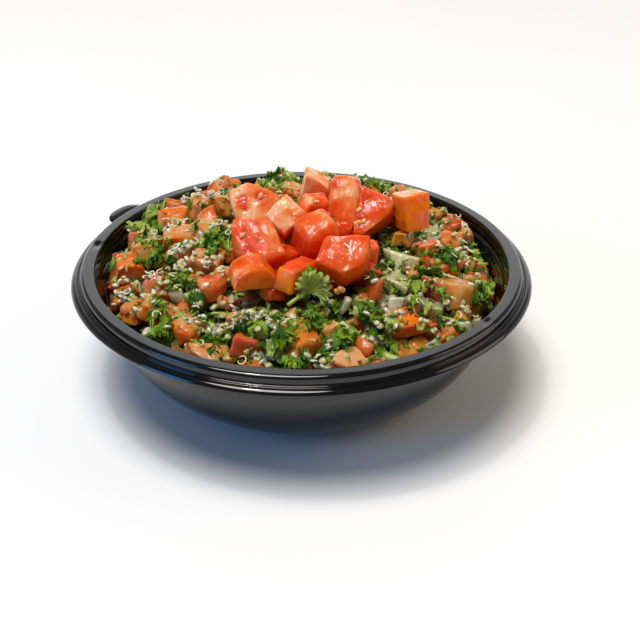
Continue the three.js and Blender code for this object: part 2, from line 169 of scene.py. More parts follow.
# %% Material: black PET, vacuum formed
def formed_black_pet():
    material, tree, shader, place = new_material("black_pet_vacuum_formed")
    smear = add(tree, "TexNoise", {"Vector": place, "Scale": per_metre(24), "Detail": 4})
    dull_from = {"Value": smear, "From Min": 0.35, "From Max": 0.75, "To Min": 0.05, "To Max": 0.12}
    dull = add(tree, "MapRange", dull_from)
    draw = add(tree, "TexNoise", {"Vector": place, "Scale": per_metre(15), "Detail": 1})
    wave = add(tree, "Bump", {"Height": draw, "Strength": 0.2, "Distance": 0.25 * MM})
    black = add(tree, "ValToRGB", {"Fac": smear}, [(0.3, "060607"), (0.8, "0d0d0e")])
    plug(tree, shader, {"Base Color": black, "Roughness": dull, "Normal": wave, "IOR": 1.57})
    return material


black_pet = formed_black_pet()
print("material:", black_pet.name)

# %% [markdown]
# ## Making meshes from arrays
# Everything here is built from arrays of points and quads: a block for whatever a knife cuts, a
# two-sided sheet for leaves, and a tube for stems and threads. One function turns such arrays
# into an object that rides on the bowl, and keeps a few marks on its points, such as how much of
# a point is skin or gel, for the materials to read.

# %% Turn arrays into a piece
def make_piece(name, points, faces, material, slot, marks=None, replaces=()):
    """A smooth mesh that rides on the bowl, with marks on its points for its material."""
    mesh = bpy.data.meshes.new(name)
    faces = faces.tolist() if isinstance(faces, np.ndarray) else faces
    mesh.from_pydata((points * MM).tolist(), [], faces)
    mesh.polygons.foreach_set("use_smooth", np.ones(len(mesh.polygons), dtype=bool))
    for mark, values in (marks or {}).items():
        layer = mesh.attributes.new(mark, "FLOAT", "POINT")
        layer.data.foreach_set("value", np.asarray(values, dtype=np.float32))
    mesh.materials.append(material)
    mesh.update()
    piece = bpy.data.objects.new(name, mesh)
    bpy.context.scene.collection.objects.link(piece)
    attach(piece, "root")
    if replaces:
        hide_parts(*replaces)
    triangles = sum(len(p.vertices) - 2 for p in mesh.polygons)
    print(f"{name}: {triangles} triangles")


class Batch:
    """Collects many small closed forms that become one mesh."""

    def __init__(self):
        self.points = []
        self.faces = []
        self.marks = {}
        self.size = 0

    def add(self, points, faces, **marks):
        self.points.append(points)
        self.faces.append(faces + self.size)
        self.size += len(points)
        for mark, value in marks.items():
            self.marks.setdefault(mark, []).append(np.broadcast_to(value, len(points)))

    def make(self, name, material, slot, replaces=()):
        marks = {mark: np.concatenate(values) for mark, values in self.marks.items()}
        points = np.concatenate(self.points)
        make_piece(name, points, np.concatenate(self.faces), material, slot, marks, replaces)


print("ready: make_piece and Batch")

# %% Forms: block, sheet and tube
def block(nx, ny, nz, crowd=0.7):
    """The closed surface of a block from -1 to 1, its rows crowded towards the edges."""
    index = {}
    quads = []
    counts = (nx, ny, nz)
    for axis in range(3):
        a, b = (axis + 1) % 3, (axis + 2) % 3
        for end in (0, counts[axis]):
            for i in range(counts[a]):
                for j in range(counts[b]):
                    quad = []
                    for di, dj in ((0, 0), (1, 0), (1, 1), (0, 1)):
                        key = [0, 0, 0]
                        key[axis], key[a], key[b] = end, i + di, j + dj
                        quad.append(index.setdefault(tuple(key), len(index)))
                    quads.append(quad if end else quad[::-1])
    grid = 2 * np.array(list(index)) / counts - 1
    return np.sign(grid) * np.abs(grid) ** crowd, np.array(quads)


def sheet(nu, nv):
    """A closed two-sided sheet: u from 0 to 1, v from -1 to 1, and which side each point is on."""
    u, v = np.meshgrid(np.linspace(0, 1, nu + 1), np.linspace(-1, 1, nv + 1), indexing="ij")
    u, v = u.ravel(), v.ravel()
    row = nv + 1
    corner = (np.arange(nu)[:, None] * row + np.arange(nv)).ravel()
    upper = np.stack([corner, corner + row, corner + row + 1, corner + 1], axis=1)
    rim = [i * row for i in range(nu + 1)] + [nu * row + j for j in range(1, nv + 1)]
    rim += [i * row + nv for i in range(nu - 1, -1, -1)] + list(range(nv - 1, 0, -1))
    rim = np.array(rim)
    lower = upper[:, ::-1] + len(u)
    edge = np.stack([rim, np.roll(rim, -1), np.roll(rim, -1) + len(u), rim + len(u)], axis=1)
    side = np.repeat([1.0, -1.0], len(u))
    return np.tile(u, 2), np.tile(v, 2), side, np.concatenate([upper, lower, edge[:, ::-1]])


def ring_quads(rings, count):
    """The quads between each ring of points and the next."""
    first = np.arange(rings - 1)[:, None] * count
    start = (first + np.arange(count)).ravel()
    after = (first + (np.arange(count) + 1) % count).ravel()
    return np.stack([start, after, after + count, start + count], axis=1)


def tube(path, radius, sides=6):
    """A round tube along a path, closed at both ends. The radius may change along it."""
    along = np.gradient(path, axis=0)
    along /= np.linalg.norm(along, axis=1, keepdims=True)
    across = np.cross(along, [0.3, 0.1, 1.0])
    across /= np.linalg.norm(across, axis=1, keepdims=True)
    third = np.cross(along, across)
    turn = np.arange(sides) * 2 * np.pi / sides
    ring = np.cos(turn)[:, None] * across[:, None] + np.sin(turn)[:, None] * third[:, None]
    points = path[:, None] + ring * np.broadcast_to(radius, len(path))[:, None, None]
    wall = ring_quads(len(path), sides)[:, [0, 3, 2, 1]]
    cap = np.array([[0, 1, 2, 3], [0, 3, 4, 5]])
    last = len(path) * sides - sides
    return points.reshape(-1, 3), np.concatenate([wall, cap, cap[:, ::-1] + last])


print("block of 5 x 5 x 5:", len(block(5, 5, 5)[1]), "quads")

# %% Shaping: turn, soften, slice and wobble
def turned(points, pitch, roll, yaw):
    """Turns points by yaw, then roll, then pitch, in degrees."""
    x, y, z = np.radians([pitch, roll, yaw])
    about_x = np.array([[1, 0, 0], [0, np.cos(x), -np.sin(x)], [0, np.sin(x), np.cos(x)]])
    about_y = np.array([[np.cos(y), 0, np.sin(y)], [0, 1, 0], [-np.sin(y), 0, np.cos(y)]])
    about_z = np.array([[np.cos(z), -np.sin(z), 0], [np.sin(z), np.cos(z), 0], [0, 0, 1]])
    return points @ (about_x @ about_y @ about_z).T


def softened(unit, size, radius):
    """A block of a size in mm, with its edges and corners rounded to a radius."""
    half = np.asarray(size) / 2
    full = unit * half
    core = np.clip(full, radius - half, half - radius)
    out = full - core
    length = np.linalg.norm(out, axis=1, keepdims=True)
    return core + out / np.maximum(length, 1e-6) * np.where(length > 0, radius, 0)


def sliced(points, normal, distance):
    """Draws what lies past a plane back onto it, as the flat face that a knife leaves."""
    normal = np.asarray(normal)
    over = np.maximum(points @ normal - distance, 0)
    return points - over[:, None] * normal


def wobble(points, size, seed):
    """Smooth noise from about -1 to 1 whose bumps are about `size` mm across."""
    draw = np.random.default_rng(seed)
    ways = draw.normal(size=(7, 3))
    ways *= 2 * np.pi / size / np.linalg.norm(ways, axis=1, keepdims=True)
    return 1.5 * np.sin(points @ ways.T + draw.uniform(0, 2 * np.pi, 7)).mean(axis=1)


print("ready: turned, softened, sliced and wobble")

# %% [markdown]
# ## The bowl
# A formed bowl is one sheet turned about its axis, so a lathe makes it: the outside from the foot
# up to the lip, and the inside back down. What makes it read as a takeaway bowl is its rim: a flat
# flange, a rounded corner, a sloped wall down to the ledge where the lid snaps on, a groove and a
# fine bead in that ledge, and a short skirt. Each corner is an arc, because a corner without one
# catches no light.

# %% Bowl: sizes and profile
FLANGE_OUTER = 87.0
FLANGE_INNER = 82.6
LEDGE_RADIUS = 88.6
LEDGE_DROP = 3.2
LIP_DROP = 5.2
STEP_RADIUS = 80.7
STEP_HEIGHT = 4.2
WALL_TOP = 41.0
WALL_RADIUS = 79.3
FOOT_RADIUS = 40.0
FOOT_RING = 10.0
FOOT_RECESS = 1.2
SHEET = 0.8
LEDGE = RIM - LEDGE_DROP
FLANGE_BEND = 1.6
LIP_BEND = 2.4
LIP_SLOPE = 20
STEP_BEND = 1.2
STEP_BEND_RISE = 3.4
UNDER_BEND = 0.5
GROOVE = 0.42
BEAD = 0.4
INNER_BEND = 0.6
FLANGE_RINGS = (86, 85, 84.2, 83.6)
WALL_STEPS = 30


def arc(radius, height, bend, start, end, steps=5):
    """Points on a round corner, from one angle to another in degrees."""
    angles = np.radians(np.linspace(start, end, steps))
    return [(radius + bend * math.cos(a), height + bend * math.sin(a)) for a in angles]


def wall_curve(inset, steps):
    """The quarter ellipse of the curved wall, from the foot upwards."""
    angles = np.linspace(np.pi / 2, 0, steps)
    radii = FOOT_RADIUS + (WALL_RADIUS - inset - FOOT_RADIUS) * np.cos(angles)
    heights = WALL_TOP - (WALL_TOP - inset) * np.sin(angles)
    return list(zip(radii.tolist(), heights.tolist()))


def outer_profile():
    """From the middle of the foot out, up and over the rim."""
    ring_inside = FOOT_RADIUS - FOOT_RING
    path = [(0, FOOT_RECESS), (ring_inside - FOOT_RECESS, FOOT_RECESS), (ring_inside, 0)]
    path += wall_curve(0, WALL_STEPS)
    path += arc(STEP_RADIUS + SHEET - STEP_BEND, WALL_TOP + STEP_BEND_RISE, STEP_BEND, -20, 0, 4)
    under = UNDER_BEND + SHEET
    path += arc(STEP_RADIUS + under, LEDGE - under, UNDER_BEND, 180, 90, 4)
    slope = math.radians(LIP_SLOPE)
    bend_radius = LIP_RADIUS - LIP_BEND * math.cos(slope)
    bend_height = RIM - LIP_DROP - LIP_BEND * math.sin(slope)
    path += arc(bend_radius, bend_height, LIP_BEND - SHEET, 80, LIP_SLOPE, 6)
    path += arc(bend_radius, bend_height, LIP_BEND, LIP_SLOPE, 90, 14)
    ledge = bend_height + LIP_BEND
    path += arc(LEDGE_RADIUS + 0.5, ledge, GROOVE, 0, -180, 9)
    path += arc(LEDGE_RADIUS - 0.1, ledge + BEAD, BEAD, 270, 185, 6)
    path += arc(FLANGE_OUTER - 0.55, RIM - FLANGE_BEND, FLANGE_BEND, 5, 90, 12)
    path += [(r, RIM) for r in FLANGE_RINGS]
    return path + arc(FLANGE_INNER + INNER_BEND, RIM - INNER_BEND, INNER_BEND, 90, 180, 6)


def inner_profile():
    """From the rim down the inside, over two ribs, to the middle of the foot."""
    path = arc(STEP_RADIUS + 0.5, RIM - 2.2, 0.4, 50, -50)
    path += arc(STEP_RADIUS + 0.3, WALL_TOP + STEP_HEIGHT, 0.5, 60, -60)
    path += arc(WALL_RADIUS - SHEET + 0.6, WALL_TOP + 2.0, 0.4, 60, -60)
    path += wall_curve(SHEET, WALL_STEPS)[::-1]
    ring_inside = FOOT_RADIUS - FOOT_RING
    path += [(ring_inside, SHEET), (ring_inside - FOOT_RECESS, FOOT_RECESS + SHEET)]
    return path + [(0, FOOT_RECESS + SHEET)]


profile = outer_profile() + inner_profile()
print(f"bowl profile: {len(profile)} points")

# %% [markdown]
# The lathe below turns the profile in fine steps. Two small marks break its perfect symmetry: an
# oval dent in the flange on the left, where a forming pin sat, and a shallow nick on the right.

# %% Bowl: lathe, dents and tab
# Each dent: x, y, width and depth.
DENTS = [(-84.3, 9.0, 1.5, 0.8), (68.2, -50.7, 1.1, 0.5)]
BOWL_FACETS = 320
TAB_ANGLE = 148
TAB_SPAN = 14
TAB_REACH = 5.8
TAB_ROOT = 2
TAB_DROP = 2.2
TAB_RISE = 1.6


def lathe(profile, facets):
    """Turns a profile about Z. A point on the axis becomes the middle of a fan."""
    turn = np.arange(facets) * 2 * np.pi / facets
    points = []
    rings = []
    for radius, height in profile:
        rings.append(len(points))
        if radius == 0:
            points.append((0, 0, height))
        else:
            points += [(radius * math.cos(a), radius * math.sin(a), height) for a in turn]
    faces = []
    for (r0, _), (r1, _), a, b in zip(profile, profile[1:], rings, rings[1:]):
        for i in range(facets):
            j = (i + 1) % facets
            if r0 == 0:
                faces.append([a, b + j, b + i])
            elif r1 == 0:
                faces.append([a + i, a + j, b])
            else:
                faces.append([a + i, a + j, b + j, b + i])
    return np.array(points, dtype=float), faces


def tab_form():
    """The thumb tab: a flat tongue with rounded edges that grows out of the lip."""
    u, v, side, quads = sheet(10, 16)
    root = LIP_RADIUS - TAB_ROOT
    half = root * math.tan(math.radians(TAB_SPAN / 2))
    reach = TAB_REACH + TAB_ROOT
    round_end = np.sqrt(np.maximum(1 - np.abs(v) ** 2.6, 0))
    out = root + u * reach * round_end
    edge = np.minimum(1, 3 * (1 - u) * round_end + 0.25)
    height = LEDGE - TAB_DROP + 0.5 * side * edge + TAB_RISE * u * round_end
    return turned(np.stack([out, v * half, height], axis=1), 0, 0, TAB_ANGLE), quads


bowl_points, bowl_faces = lathe(profile, BOWL_FACETS)
for x, y, width, deep in DENTS:
    away = np.hypot(bowl_points[:, 0] - x, (bowl_points[:, 1] - y) * 0.6)
    near_top = bowl_points[:, 2] > RIM - 2
    bowl_points[:, 2] -= near_top * deep * np.exp(-((away / width) ** 2))

make_piece("formed_bowl", bowl_points, bowl_faces, black_pet, "black_plastic", replaces=["bowl"])
make_piece("lid_tab", *tab_form(), black_pet, "black_plastic")

# %% [markdown]
# ## Tomato
# Cut tomato is wet, and light goes a few millimetres into it before it comes back, which is what
# makes it glow red in the gaps between two pieces. So the shader scatters light below the
# surface, red furthest. A cut face is salmon with paler fibres; the skin is a clean glossy orange;
# and the gel round the seeds is a deeper red and as shiny as glass. The marks on the points say
# which is which. Tomato that has lain in the dressing is duller and browner than what was put on
# top fresh, so one function makes both from their own colours. The fibres of the flesh run one way
# through each piece, so every point also knows its distance along its own piece, and a noise in
# that one direction draws the streaks. Juice pools in patches: a thin coat with a rippled surface
# of its own gives the small white glints.

# %% Material: cut tomato, fresh and dressed
def cut_tomato(name, flesh, skin, gel, film, mottling):
    """Flesh is a ramp from shaded to pale, film how much juice lies on it, mottling its patches."""
    material, tree, shader, place = new_material(name)
    tone, on_skin, in_gel, along, amber = (
        add(tree, "Attribute", attribute_name=mark).outputs["Fac"]
        for mark in ("tone", "skin", "gel", "fibre", "amber")
    )
    cloud, grain, drops = (
        add(tree, "TexNoise", {"Vector": place, "Scale": per_metre(size), **more})
        for size, more in (
            (5, {"Detail": 4}),
            (0.9, {"Detail": 3, "Distortion": 0.8}),
            (2.6, {"Detail": 1.5}),
        )
    )
    plus = {"operation": "MULTIPLY_ADD"}
    bent = add(tree, "Math", {0: cloud, 1: 3.0, 2: along}, **plus)
    one_way = {"W": bent, "Scale": 1.3, "Detail": 3}
    fibres = add(tree, "TexNoise", one_way, noise_dimensions="1D")
    patch = add(tree, "Math", {0: cloud, 1: mottling, 2: tone}, **plus)
    streak = add(tree, "Math", {0: fibres, 1: 0.14, 2: patch}, **plus)
    fine = add(tree, "Math", {0: grain, 1: 0.26, 2: streak}, **plus)
    middle = mottling / 2
    span = {"Value": fine, "From Min": 0.2 + middle, "From Max": 1.3 + middle}
    scaled = add(tree, "MapRange", span)
    ramp = [(i / (len(flesh) - 1), colour) for i, colour in enumerate(flesh)]
    colour = add(tree, "ValToRGB", {"Fac": scaled}, ramp)
    peel = add(tree, "ValToRGB", {"Fac": cloud}, [(0.35, skin[0]), (0.65, skin[1])])
    wet = add(tree, "MapRange", {"Value": in_gel, "From Min": 0.2, "From Max": 0.7})
    for share, over in ((on_skin, peel), (amber, "bd8a34"), (wet, gel)):
        layer = {"Factor": share, 6: colour, 7: over}
        colour = add(tree, "Mix", layer, data_type="RGBA").outputs[2]
    smooth = add(tree, "Math", {0: wet, 1: on_skin}, operation="MAXIMUM")
    pools = add(tree, "MapRange", {"Value": cloud, "From Min": 0.46, "From Max": 0.56})
    coat = add(tree, "Math", {0: pools, 1: film, 2: wet}, use_clamp=True, **plus)
    shine = add(tree, "MapRange", {"Value": smooth, "To Min": 0.3, "To Max": 0.2})
    ridges = add(tree, "Math", {0: fibres, 1: 0.3, 2: grain}, **plus)
    deep = {"Value": smooth, "To Min": 0.2 * MM, "To Max": 0.12 * MM}
    depth = add(tree, "MapRange", deep)
    relief = add(tree, "Bump", {"Height": ridges, "Strength": 0.6, "Distance": depth})
    ripple = add(tree, "Bump", {"Height": drops, "Strength": 1.0, "Distance": 1.2 * MM})
    plug(tree, shader, {
        "Base Color": colour, "Roughness": shine, "Normal": relief, "IOR": 1.36,
        "Subsurface Weight": 0.9, "Subsurface Radius": (1.0, 0.25, 0.08),
        "Subsurface Scale": 5.5 * MM, "Specular IOR Level": 0.16,
        "Coat Weight": coat, "Coat Normal": ripple, "Coat Roughness": 0.04, "Coat IOR": 1.5,
    })
    return material


fresh_tomato = cut_tomato(
    "fresh_cut_tomato",
    flesh=("f05c26", "e24c10", "e4661e", "ec8c4a", "f6be90"),
    skin=("f2881a", "e4660a"),
    gel="de4a24",
    film=1.1,
    mottling=1.2,
)
dressed_tomato = cut_tomato(
    "dressed_cut_tomato",
    flesh=("a23206", "c64c16", "d46a2c", "dc8648", "e8ac76"),
    skin=("ee7c14", "dc5a04"),
    gel="cc5a30",
    film=1.3,
    mottling=1.5,
)
print("materials:", fresh_tomato.name, "and", dressed_tomato.name)

# %% [markdown]
# ## Greens, grain and onion
# Parsley leaf is thin, so some light comes through it, and the dressing leaves it shiny in spots.
# No two chopped bits have the same green: each one's tone moves it along a ramp from the nearly
# black green of an old leaf to the yellow green of a stalk. Onion and cooked quinoa are like
# frosted glass: pale and lit from within, under a rippled film of dressing. A sprouted grain is a
# clear bead with a white thread round its rim, and many threads have come loose as little curls.

# %% Materials: parsley, stem, onion and quinoa
def chopped_parsley():
    material, tree, shader, place = new_material("chopped_curly_parsley")
    tone = add(tree, "Attribute", attribute_name="tone").outputs["Fac"]
    mottle, veins = (
        add(tree, "TexNoise", {"Vector": place, "Scale": per_metre(size), "Detail": fine})
        for size, fine in ((1.8, 3), (0.7, 2))
    )
    shifted = {0: mottle, 1: 0.45, 2: tone}
    shift = add(tree, "Math", shifted, operation="MULTIPLY_ADD")
    greens = [(0.15, "1c4606"), (0.42, "528a0e"), (0.7, "a2c42a"), (0.95, "e2ea8c")]
    green = add(tree, "ValToRGB", {"Fac": shift}, greens)
    relief = add(tree, "Bump", {"Height": veins, "Strength": 0.5, "Distance": 0.2 * MM})
    through = add(tree, "BsdfTranslucent", {"Color": green, "Normal": relief})
    leaf = add(tree, "MixShader", {0: 0.42, 1: shader, 2: through})
    plug(tree, tree.nodes["Material Output"], {"Surface": leaf})
    plug(tree, shader, {
        "Base Color": green, "Normal": relief, "Roughness": 0.6, "Specular IOR Level": 0.2,
        "Coat Weight": 0.6, "Coat Roughness": 0.1,
    })
    return material


def pale_and_translucent(name, colours, grain_mm, scatter_mm, roughness, rim=None, clear=0.0):
    """Onion, grain and germ: a pale body that light goes into, with colours along each tone."""
    material, tree, shader, place = new_material(name)
    tone = add(tree, "Attribute", attribute_name="tone").outputs["Fac"]
    cloud, drops = (
        add(tree, "TexNoise", {"Vector": place, "Scale": per_metre(size), "Detail": fine})
        for size, fine in ((grain_mm, 3), (1.4, 1.5))
    )
    shift = add(tree, "Math", {0: cloud, 1: 0.5, 2: tone}, operation="MULTIPLY_ADD")
    stops = [(0.2 + 0.9 * i / len(colours), colour) for i, colour in enumerate(colours)]
    colour = add(tree, "ValToRGB", {"Fac": shift}, stops)
    if rim:
        mark = add(tree, "Attribute", attribute_name="rim").outputs["Fac"]
        bright = {"Factor": mark, 6: colour, 7: rim}
        colour = add(tree, "Mix", bright, data_type="RGBA").outputs[2]
    relief = add(tree, "Bump", {"Height": cloud, "Strength": 0.3, "Distance": 0.15 * MM})
    ripple = add(tree, "Bump", {"Height": drops, "Strength": 1.0, "Distance": 0.7 * MM})
    plug(tree, shader, {
        "Base Color": colour, "Roughness": roughness, "Normal": relief, "IOR": 1.36,
        "Transmission Weight": clear, "Subsurface Weight": 0.8,
        "Subsurface Radius": (1.0, 0.9, 0.6), "Subsurface Scale": scatter_mm * MM,
        "Coat Weight": 1.0, "Coat Roughness": 0.05, "Coat Normal": ripple,
    })
    return material


parsley_green = chopped_parsley()
green_stem, onion_white, quinoa_bead, quinoa_germ, seed_yellow = (
    pale_and_translucent(name, colours.split(), *rest)
    for name, colours, *rest in (
        ("parsley_stalk", "6d8c26 9aae48 c3cc7c", 3, 0.8, 0.35),
        ("chopped_white_onion", "98995a c9c892 f8f5de", 3, 3.6, 0.2, None, 0.15),
        ("cooked_quinoa", "a8994a cabb70 e4d69c", 1.6, 2.6, 0.14, "fdf8e4", 0.1),
        ("quinoa_germ", "efe2aa f8eec6 fffae2", 1.5, 0.3, 0.3),
        ("tomato_seed", "dc8a3c e8a45a f0bc80", 1.5, 1.2, 0.2),
    )
)
print("materials:", parsley_green.name, onion_white.name, quinoa_bead.name, quinoa_germ.name)

# %% [markdown]
# ## The pile of cut tomato
# Each chunk is a block cut by knife, so its faces are nearly flat. Its edges were sharp, and juice
# and handling have rounded them, so every point is drawn a little towards its neighbours. The
# numbers repeat the part's: where its middle is, its size, how it is turned, how much narrower
# its top is, how far it leans, and each further cut as a plane's direction and distance. What the
# solids leave out is added here: which side still has its skin, where the gel was cut open, and
# where the flesh is redder or paler. That tone is partly the flesh's own, and partly painted shade
# on lower, shaded sides and painted light on some faces that lie in shade.

# %% Pile: the chunks, one by one
# Sizes and places are in mm. Edge is the rounding of the block's edges, and a higher tone is paler.
# A gel row is a place, as shares of the half size, and a radius. Each row that changes the tone
# gives a place, a radius and the change: partly the flesh's own redder or paler colour, partly
# painted shade and painted light.
PLAIN = dict(pinch=(0.1, 0.1), lean=0, cuts=[], skin=[], gel=[])
CHUNKS = dict(
    front_right=dict(
        at=(16.4, -32.5, 68), size=(18, 22, 13), turn=(40, 0, -24), tone=0.4, edge=1.3,
        cuts=[(-0.407, 0.914, 0, 5), (0.914, 0.407, 0, 9.8), (0.75, -0.66, 0, 10)],
        blush_and_painted_light=[(-1, -1, 0.6, 7, -0.15), (0.1, -0.9, 0.2, 6, 0.25), (0.9, 0.2, 0.9, 5, 0.2)],
    ),
    kite=dict(
        at=(-6, -10, 72), size=(13, 12, 11), turn=(50, 0, 45), tone=1.15, edge=0.8,
        blush_and_painted_light=[
            (1, -0.2, 1, 6, -0.3), (0.5, -1, 0.9, 3, -0.5), (0, -1, -0.4, 6, -0.55),
            (-1, 0, -0.5, 6, -0.8),
        ],
    ),
    far_right=dict(
        at=(43.3, 3.4, 69), size=(9.8, 11, 14.6), turn=(-12, -6, 25), tone=0.9, edge=1.0,
        pinch=(-0.2, 0.05), skin=["-y", "-x"], blush_and_painted_light=[(0, 0, -1, 7, -0.4)],
    ),
    left=dict(
        at=(-17, -23.7, 68), size=(17, 25, 13), turn=(40, 0, 26), tone=0.36, edge=1.4,
        cuts=[(0.438, 0.899, 0, 7.7), (-0.899, 0.438, 0, 9.5)],
        gel=[
            (-0.54, 0.18, 1, 3), (-0.61, -0.35, 1, 3), (0.26, 0.26, 1, 2.4),
            (0.08, -0.29, 1, 1.8),
        ],
        blush_and_painted_light=[(0.9, -0.2, 0.9, 7, 0.2), (1, -0.6, -0.6, 8, 0.5), (1, 0.4, 0, 8, 0.3)],
    ),
    front_left=dict(
        at=(-17, -41, 65), size=(16, 11, 9), turn=(10, 8, 18), tone=0.45, edge=0.8,
        pinch=(0.1, 0.15), cuts=[(0.75, 0, 0.66, 5.6), (-0.5, 0, 0.866, 4.9)], skin=["-y"],
        gel=[(-0.8, -1, 0.1, 3.2)], blush_and_painted_light=[(-1, -1, 0, 6, 0.5)],
    ),
    right=dict(
        at=(26.3, 4.5, 65), size=(17, 22, 11), turn=(45, 0, -25), tone=0.5, edge=1.6,
        cuts=[(0.893, -0.451, 0, 5.8), (-0.965, -0.261, 0, 5.1)],
        gel=[(-0.5, 0.35, 1, 4.5), (-0.5, 0, 1, 4), (-0.25, -0.47, 1, 3.4)],
        blush_and_painted_light=[(0.6, -0.4, 1, 5, 0.2), (-0.3, 0.2, 1, 8, -0.35)],
    ),
    tall=dict(
        at=(17.3, 8.2, 68.2), size=(12, 10, 25), turn=(-40, 0, 6), tone=0.68, edge=3.6,
        pinch=(-0.1, 0.1), gel=[(-0.8, -1, 0.75, 3.5), (0.9, -0.6, 0.8, 3)],
        blush_and_painted_light=[(0, -1, 0.5, 5, 0.35), (-0.6, -1, -0.3, 5, -0.25)],
    ),
    peak=dict(
        at=(6, 17, 71), size=(13, 11, 16), turn=(5, 14, 0), tone=0.95, edge=1.0,
        pinch=(0.25, 0.2), lean=-2, cuts=[(0.35, 0, 0.937, 6.6)],
        blush_and_painted_light=[(0.2, -1, -0.6, 8, -0.35)],
    ),
    rear_left=dict(
        at=(-20, 11.8, 66.8), size=(23, 18, 10), turn=(50, 0, 0), tone=1.1, edge=1.0,
        pinch=(0.05, 0.05),
        cuts=[(-0.518, 0.856, 0, 9.1), (0.36, 0.933, 0, 7.4), (-0.966, -0.257, 0, 8.5)],
        gel=[
            (-0.37, 0.26, 1, 1.8), (-0.33, 0, 1, 1.8), (-0.29, -0.3, 1, 1.6), (0.3, 0.32, 1, 2.6),
        ],
        blush_and_painted_light=[
            (0.55, 0, 1, 6, -0.5), (-0.42, 0, 1, 2.5, -0.9), (-0.1, 1, 1, 4, -0.4),
            (-0.7, -1, 0.6, 5, -0.3),
        ],
    ),
    centre=dict(
        at=(6, -19, 68), size=(17, 16, 18), turn=(25, -5, 30), tone=0.5, edge=3.4,
        pinch=(0.2, 0.2), gel=[(-0.8, -1, -0.1, 3)],
        blush_and_painted_light=[(0.5, 0.2, 1, 6, 0.2), (-0.9, -1, 0.2, 7, -0.35), (-1, -0.4, 0.6, 6, -0.25)],
    ),
    core=dict(
        at=(5, -3.5, 72.5), size=(11, 10, 11), turn=(10, 12, 20), tone=0.5, edge=1.5,
        pinch=(0.2, 0.2), gel=[(-0.3, -0.6, 1, 2.6), (-0.6, -1, 0.2, 3.5), (0.7, -1, 0.2, 3)],
        blush_and_painted_light=[(-0.9, -0.3, 0.9, 3.6, 0.8), (0.8, 0, 0.6, 5, -0.5)],
    ),
    low_slice=dict(
        at=(-1.5, -37, 61.5), size=(9, 19, 9), turn=(-5, 10, -30), tone=0.3, edge=1.2,
        pinch=(0.2, 0.1), skin=["-y"], blush_and_painted_light=[(-1, 0.5, 0, 7, -0.5)],
    ),
    small_right=dict(
        at=(26, -22, 63), size=(6, 8, 9), turn=(0, 8, 8), tone=0.3, edge=1.4,
        blush_and_painted_light=[(1, -1, 0.5, 5, 0.2)],
    ),
)
PILE = {"tomato_" + name: PLAIN | row for name, row in CHUNKS.items()}
print(f"{len(PILE)} chunks in the pile")

# %% Pile: shape a chunk
CHUNK_ROWS = 30
CROWN = 0.08
RELAX_ROUNDS = 4
# Painted shade: flesh low in the pile is lit only through its neighbours, so its tone is made lower
# and redder.
PAINTED_LOW_SHADE = 0.26
UNDER_DEPTH = 8


def chunk_place(chunk, points):
    """Narrows, leans, turns and moves a chunk's points from its own frame to the bowl's."""
    up = points[:, 2:] / chunk["size"][2] + 0.5
    narrow = 1 - up * np.array(chunk["pinch"])
    lean = up * [chunk["lean"], 0]
    shaped = np.hstack([points[:, :2] * narrow + lean, points[:, 2:]])
    return turned(shaped, *chunk["turn"]) + chunk["at"]


def relaxed(points, quads, rounds):
    """Draws every point half way to the mean of its neighbours, as juice rounds a cut edge."""
    ends = np.vstack([quads[:, [i, (i + 1) % 4]] for i in range(4)])
    for turn in range(rounds):
        total = np.zeros_like(points)
        count = np.zeros(len(points))
        for near, far in (ends.T, ends.T[::-1]):
            np.add.at(total, near, points[far])
            np.add.at(count, near, 1)
        points = (points + total / count[:, None]) / 2
    return points


def chunk_form(chunk, seed):
    """A cut chunk's points, quads, and how much of each point is skin or gel, and its tone."""
    unit, quads = block(CHUNK_ROWS, CHUNK_ROWS, CHUNK_ROWS, 0.6)
    u, v, w = unit.T
    crown = CROWN * (1 - np.abs(u * v)) * (1 - np.abs(v * w)) * (1 - np.abs(u * w))
    points = softened(unit, chunk["size"], chunk["edge"]) * (1 + crown[:, None])
    for *normal, distance in chunk["cuts"]:
        points = sliced(points, normal, distance)
    points = relaxed(points, quads, RELAX_ROUNDS)
    half = np.array(chunk["size"]) / 2
    skin = np.zeros(len(unit))
    for side in chunk["skin"]:
        axis = "xyz".index(side[1])
        facing = unit[:, axis] * (1 if side[0] == "+" else -1)
        skin = np.maximum(skin, np.clip((facing - 0.8) / 0.2, 0, 1) ** 2)

    def patch(centre, radius):
        away = np.linalg.norm(points - np.array(centre) * half, axis=1)
        return np.exp(-((away / radius) ** 2))

    tone = np.full(len(unit), float(chunk["tone"]))
    # Painted shade and light: these tone patches darken lower, shaded sides and lighten some faces
    # in shade, as well as giving the flesh its own paler and redder patches.
    for *centre, radius, amount in chunk["blush_and_painted_light"]:
        tone += amount * patch(centre, radius)
    gel = np.zeros(len(unit))
    for *centre, radius in chunk["gel"]:
        gel = np.maximum(gel, patch(centre, radius))
    gel *= 1 - skin
    outwards = points / np.linalg.norm(points, axis=1, keepdims=True)
    relief = 0.5 * wobble(points, 10, seed) + 0.22 * wobble(points, 4, seed + 1)
    relief += 0.07 * wobble(points, 1.6, seed + 3)
    relief = relief * (1 - 0.6 * skin) - 0.7 * gel + 0.35 * gel * wobble(points, 2.0, seed + 2)
    fibre = points[:, 0] + 0.3 * points[:, 2]
    points = chunk_place(chunk, points + outwards * relief[:, None])
    # Painted shade: the lower part of each chunk gets a redder, darker tone.
    tone -= PAINTED_LOW_SHADE * np.clip((chunk["at"][2] - points[:, 2]) / UNDER_DEPTH, 0, 1)
    return points, quads, skin, gel, tone, fibre


print("ready: chunk_place, relaxed and chunk_form")

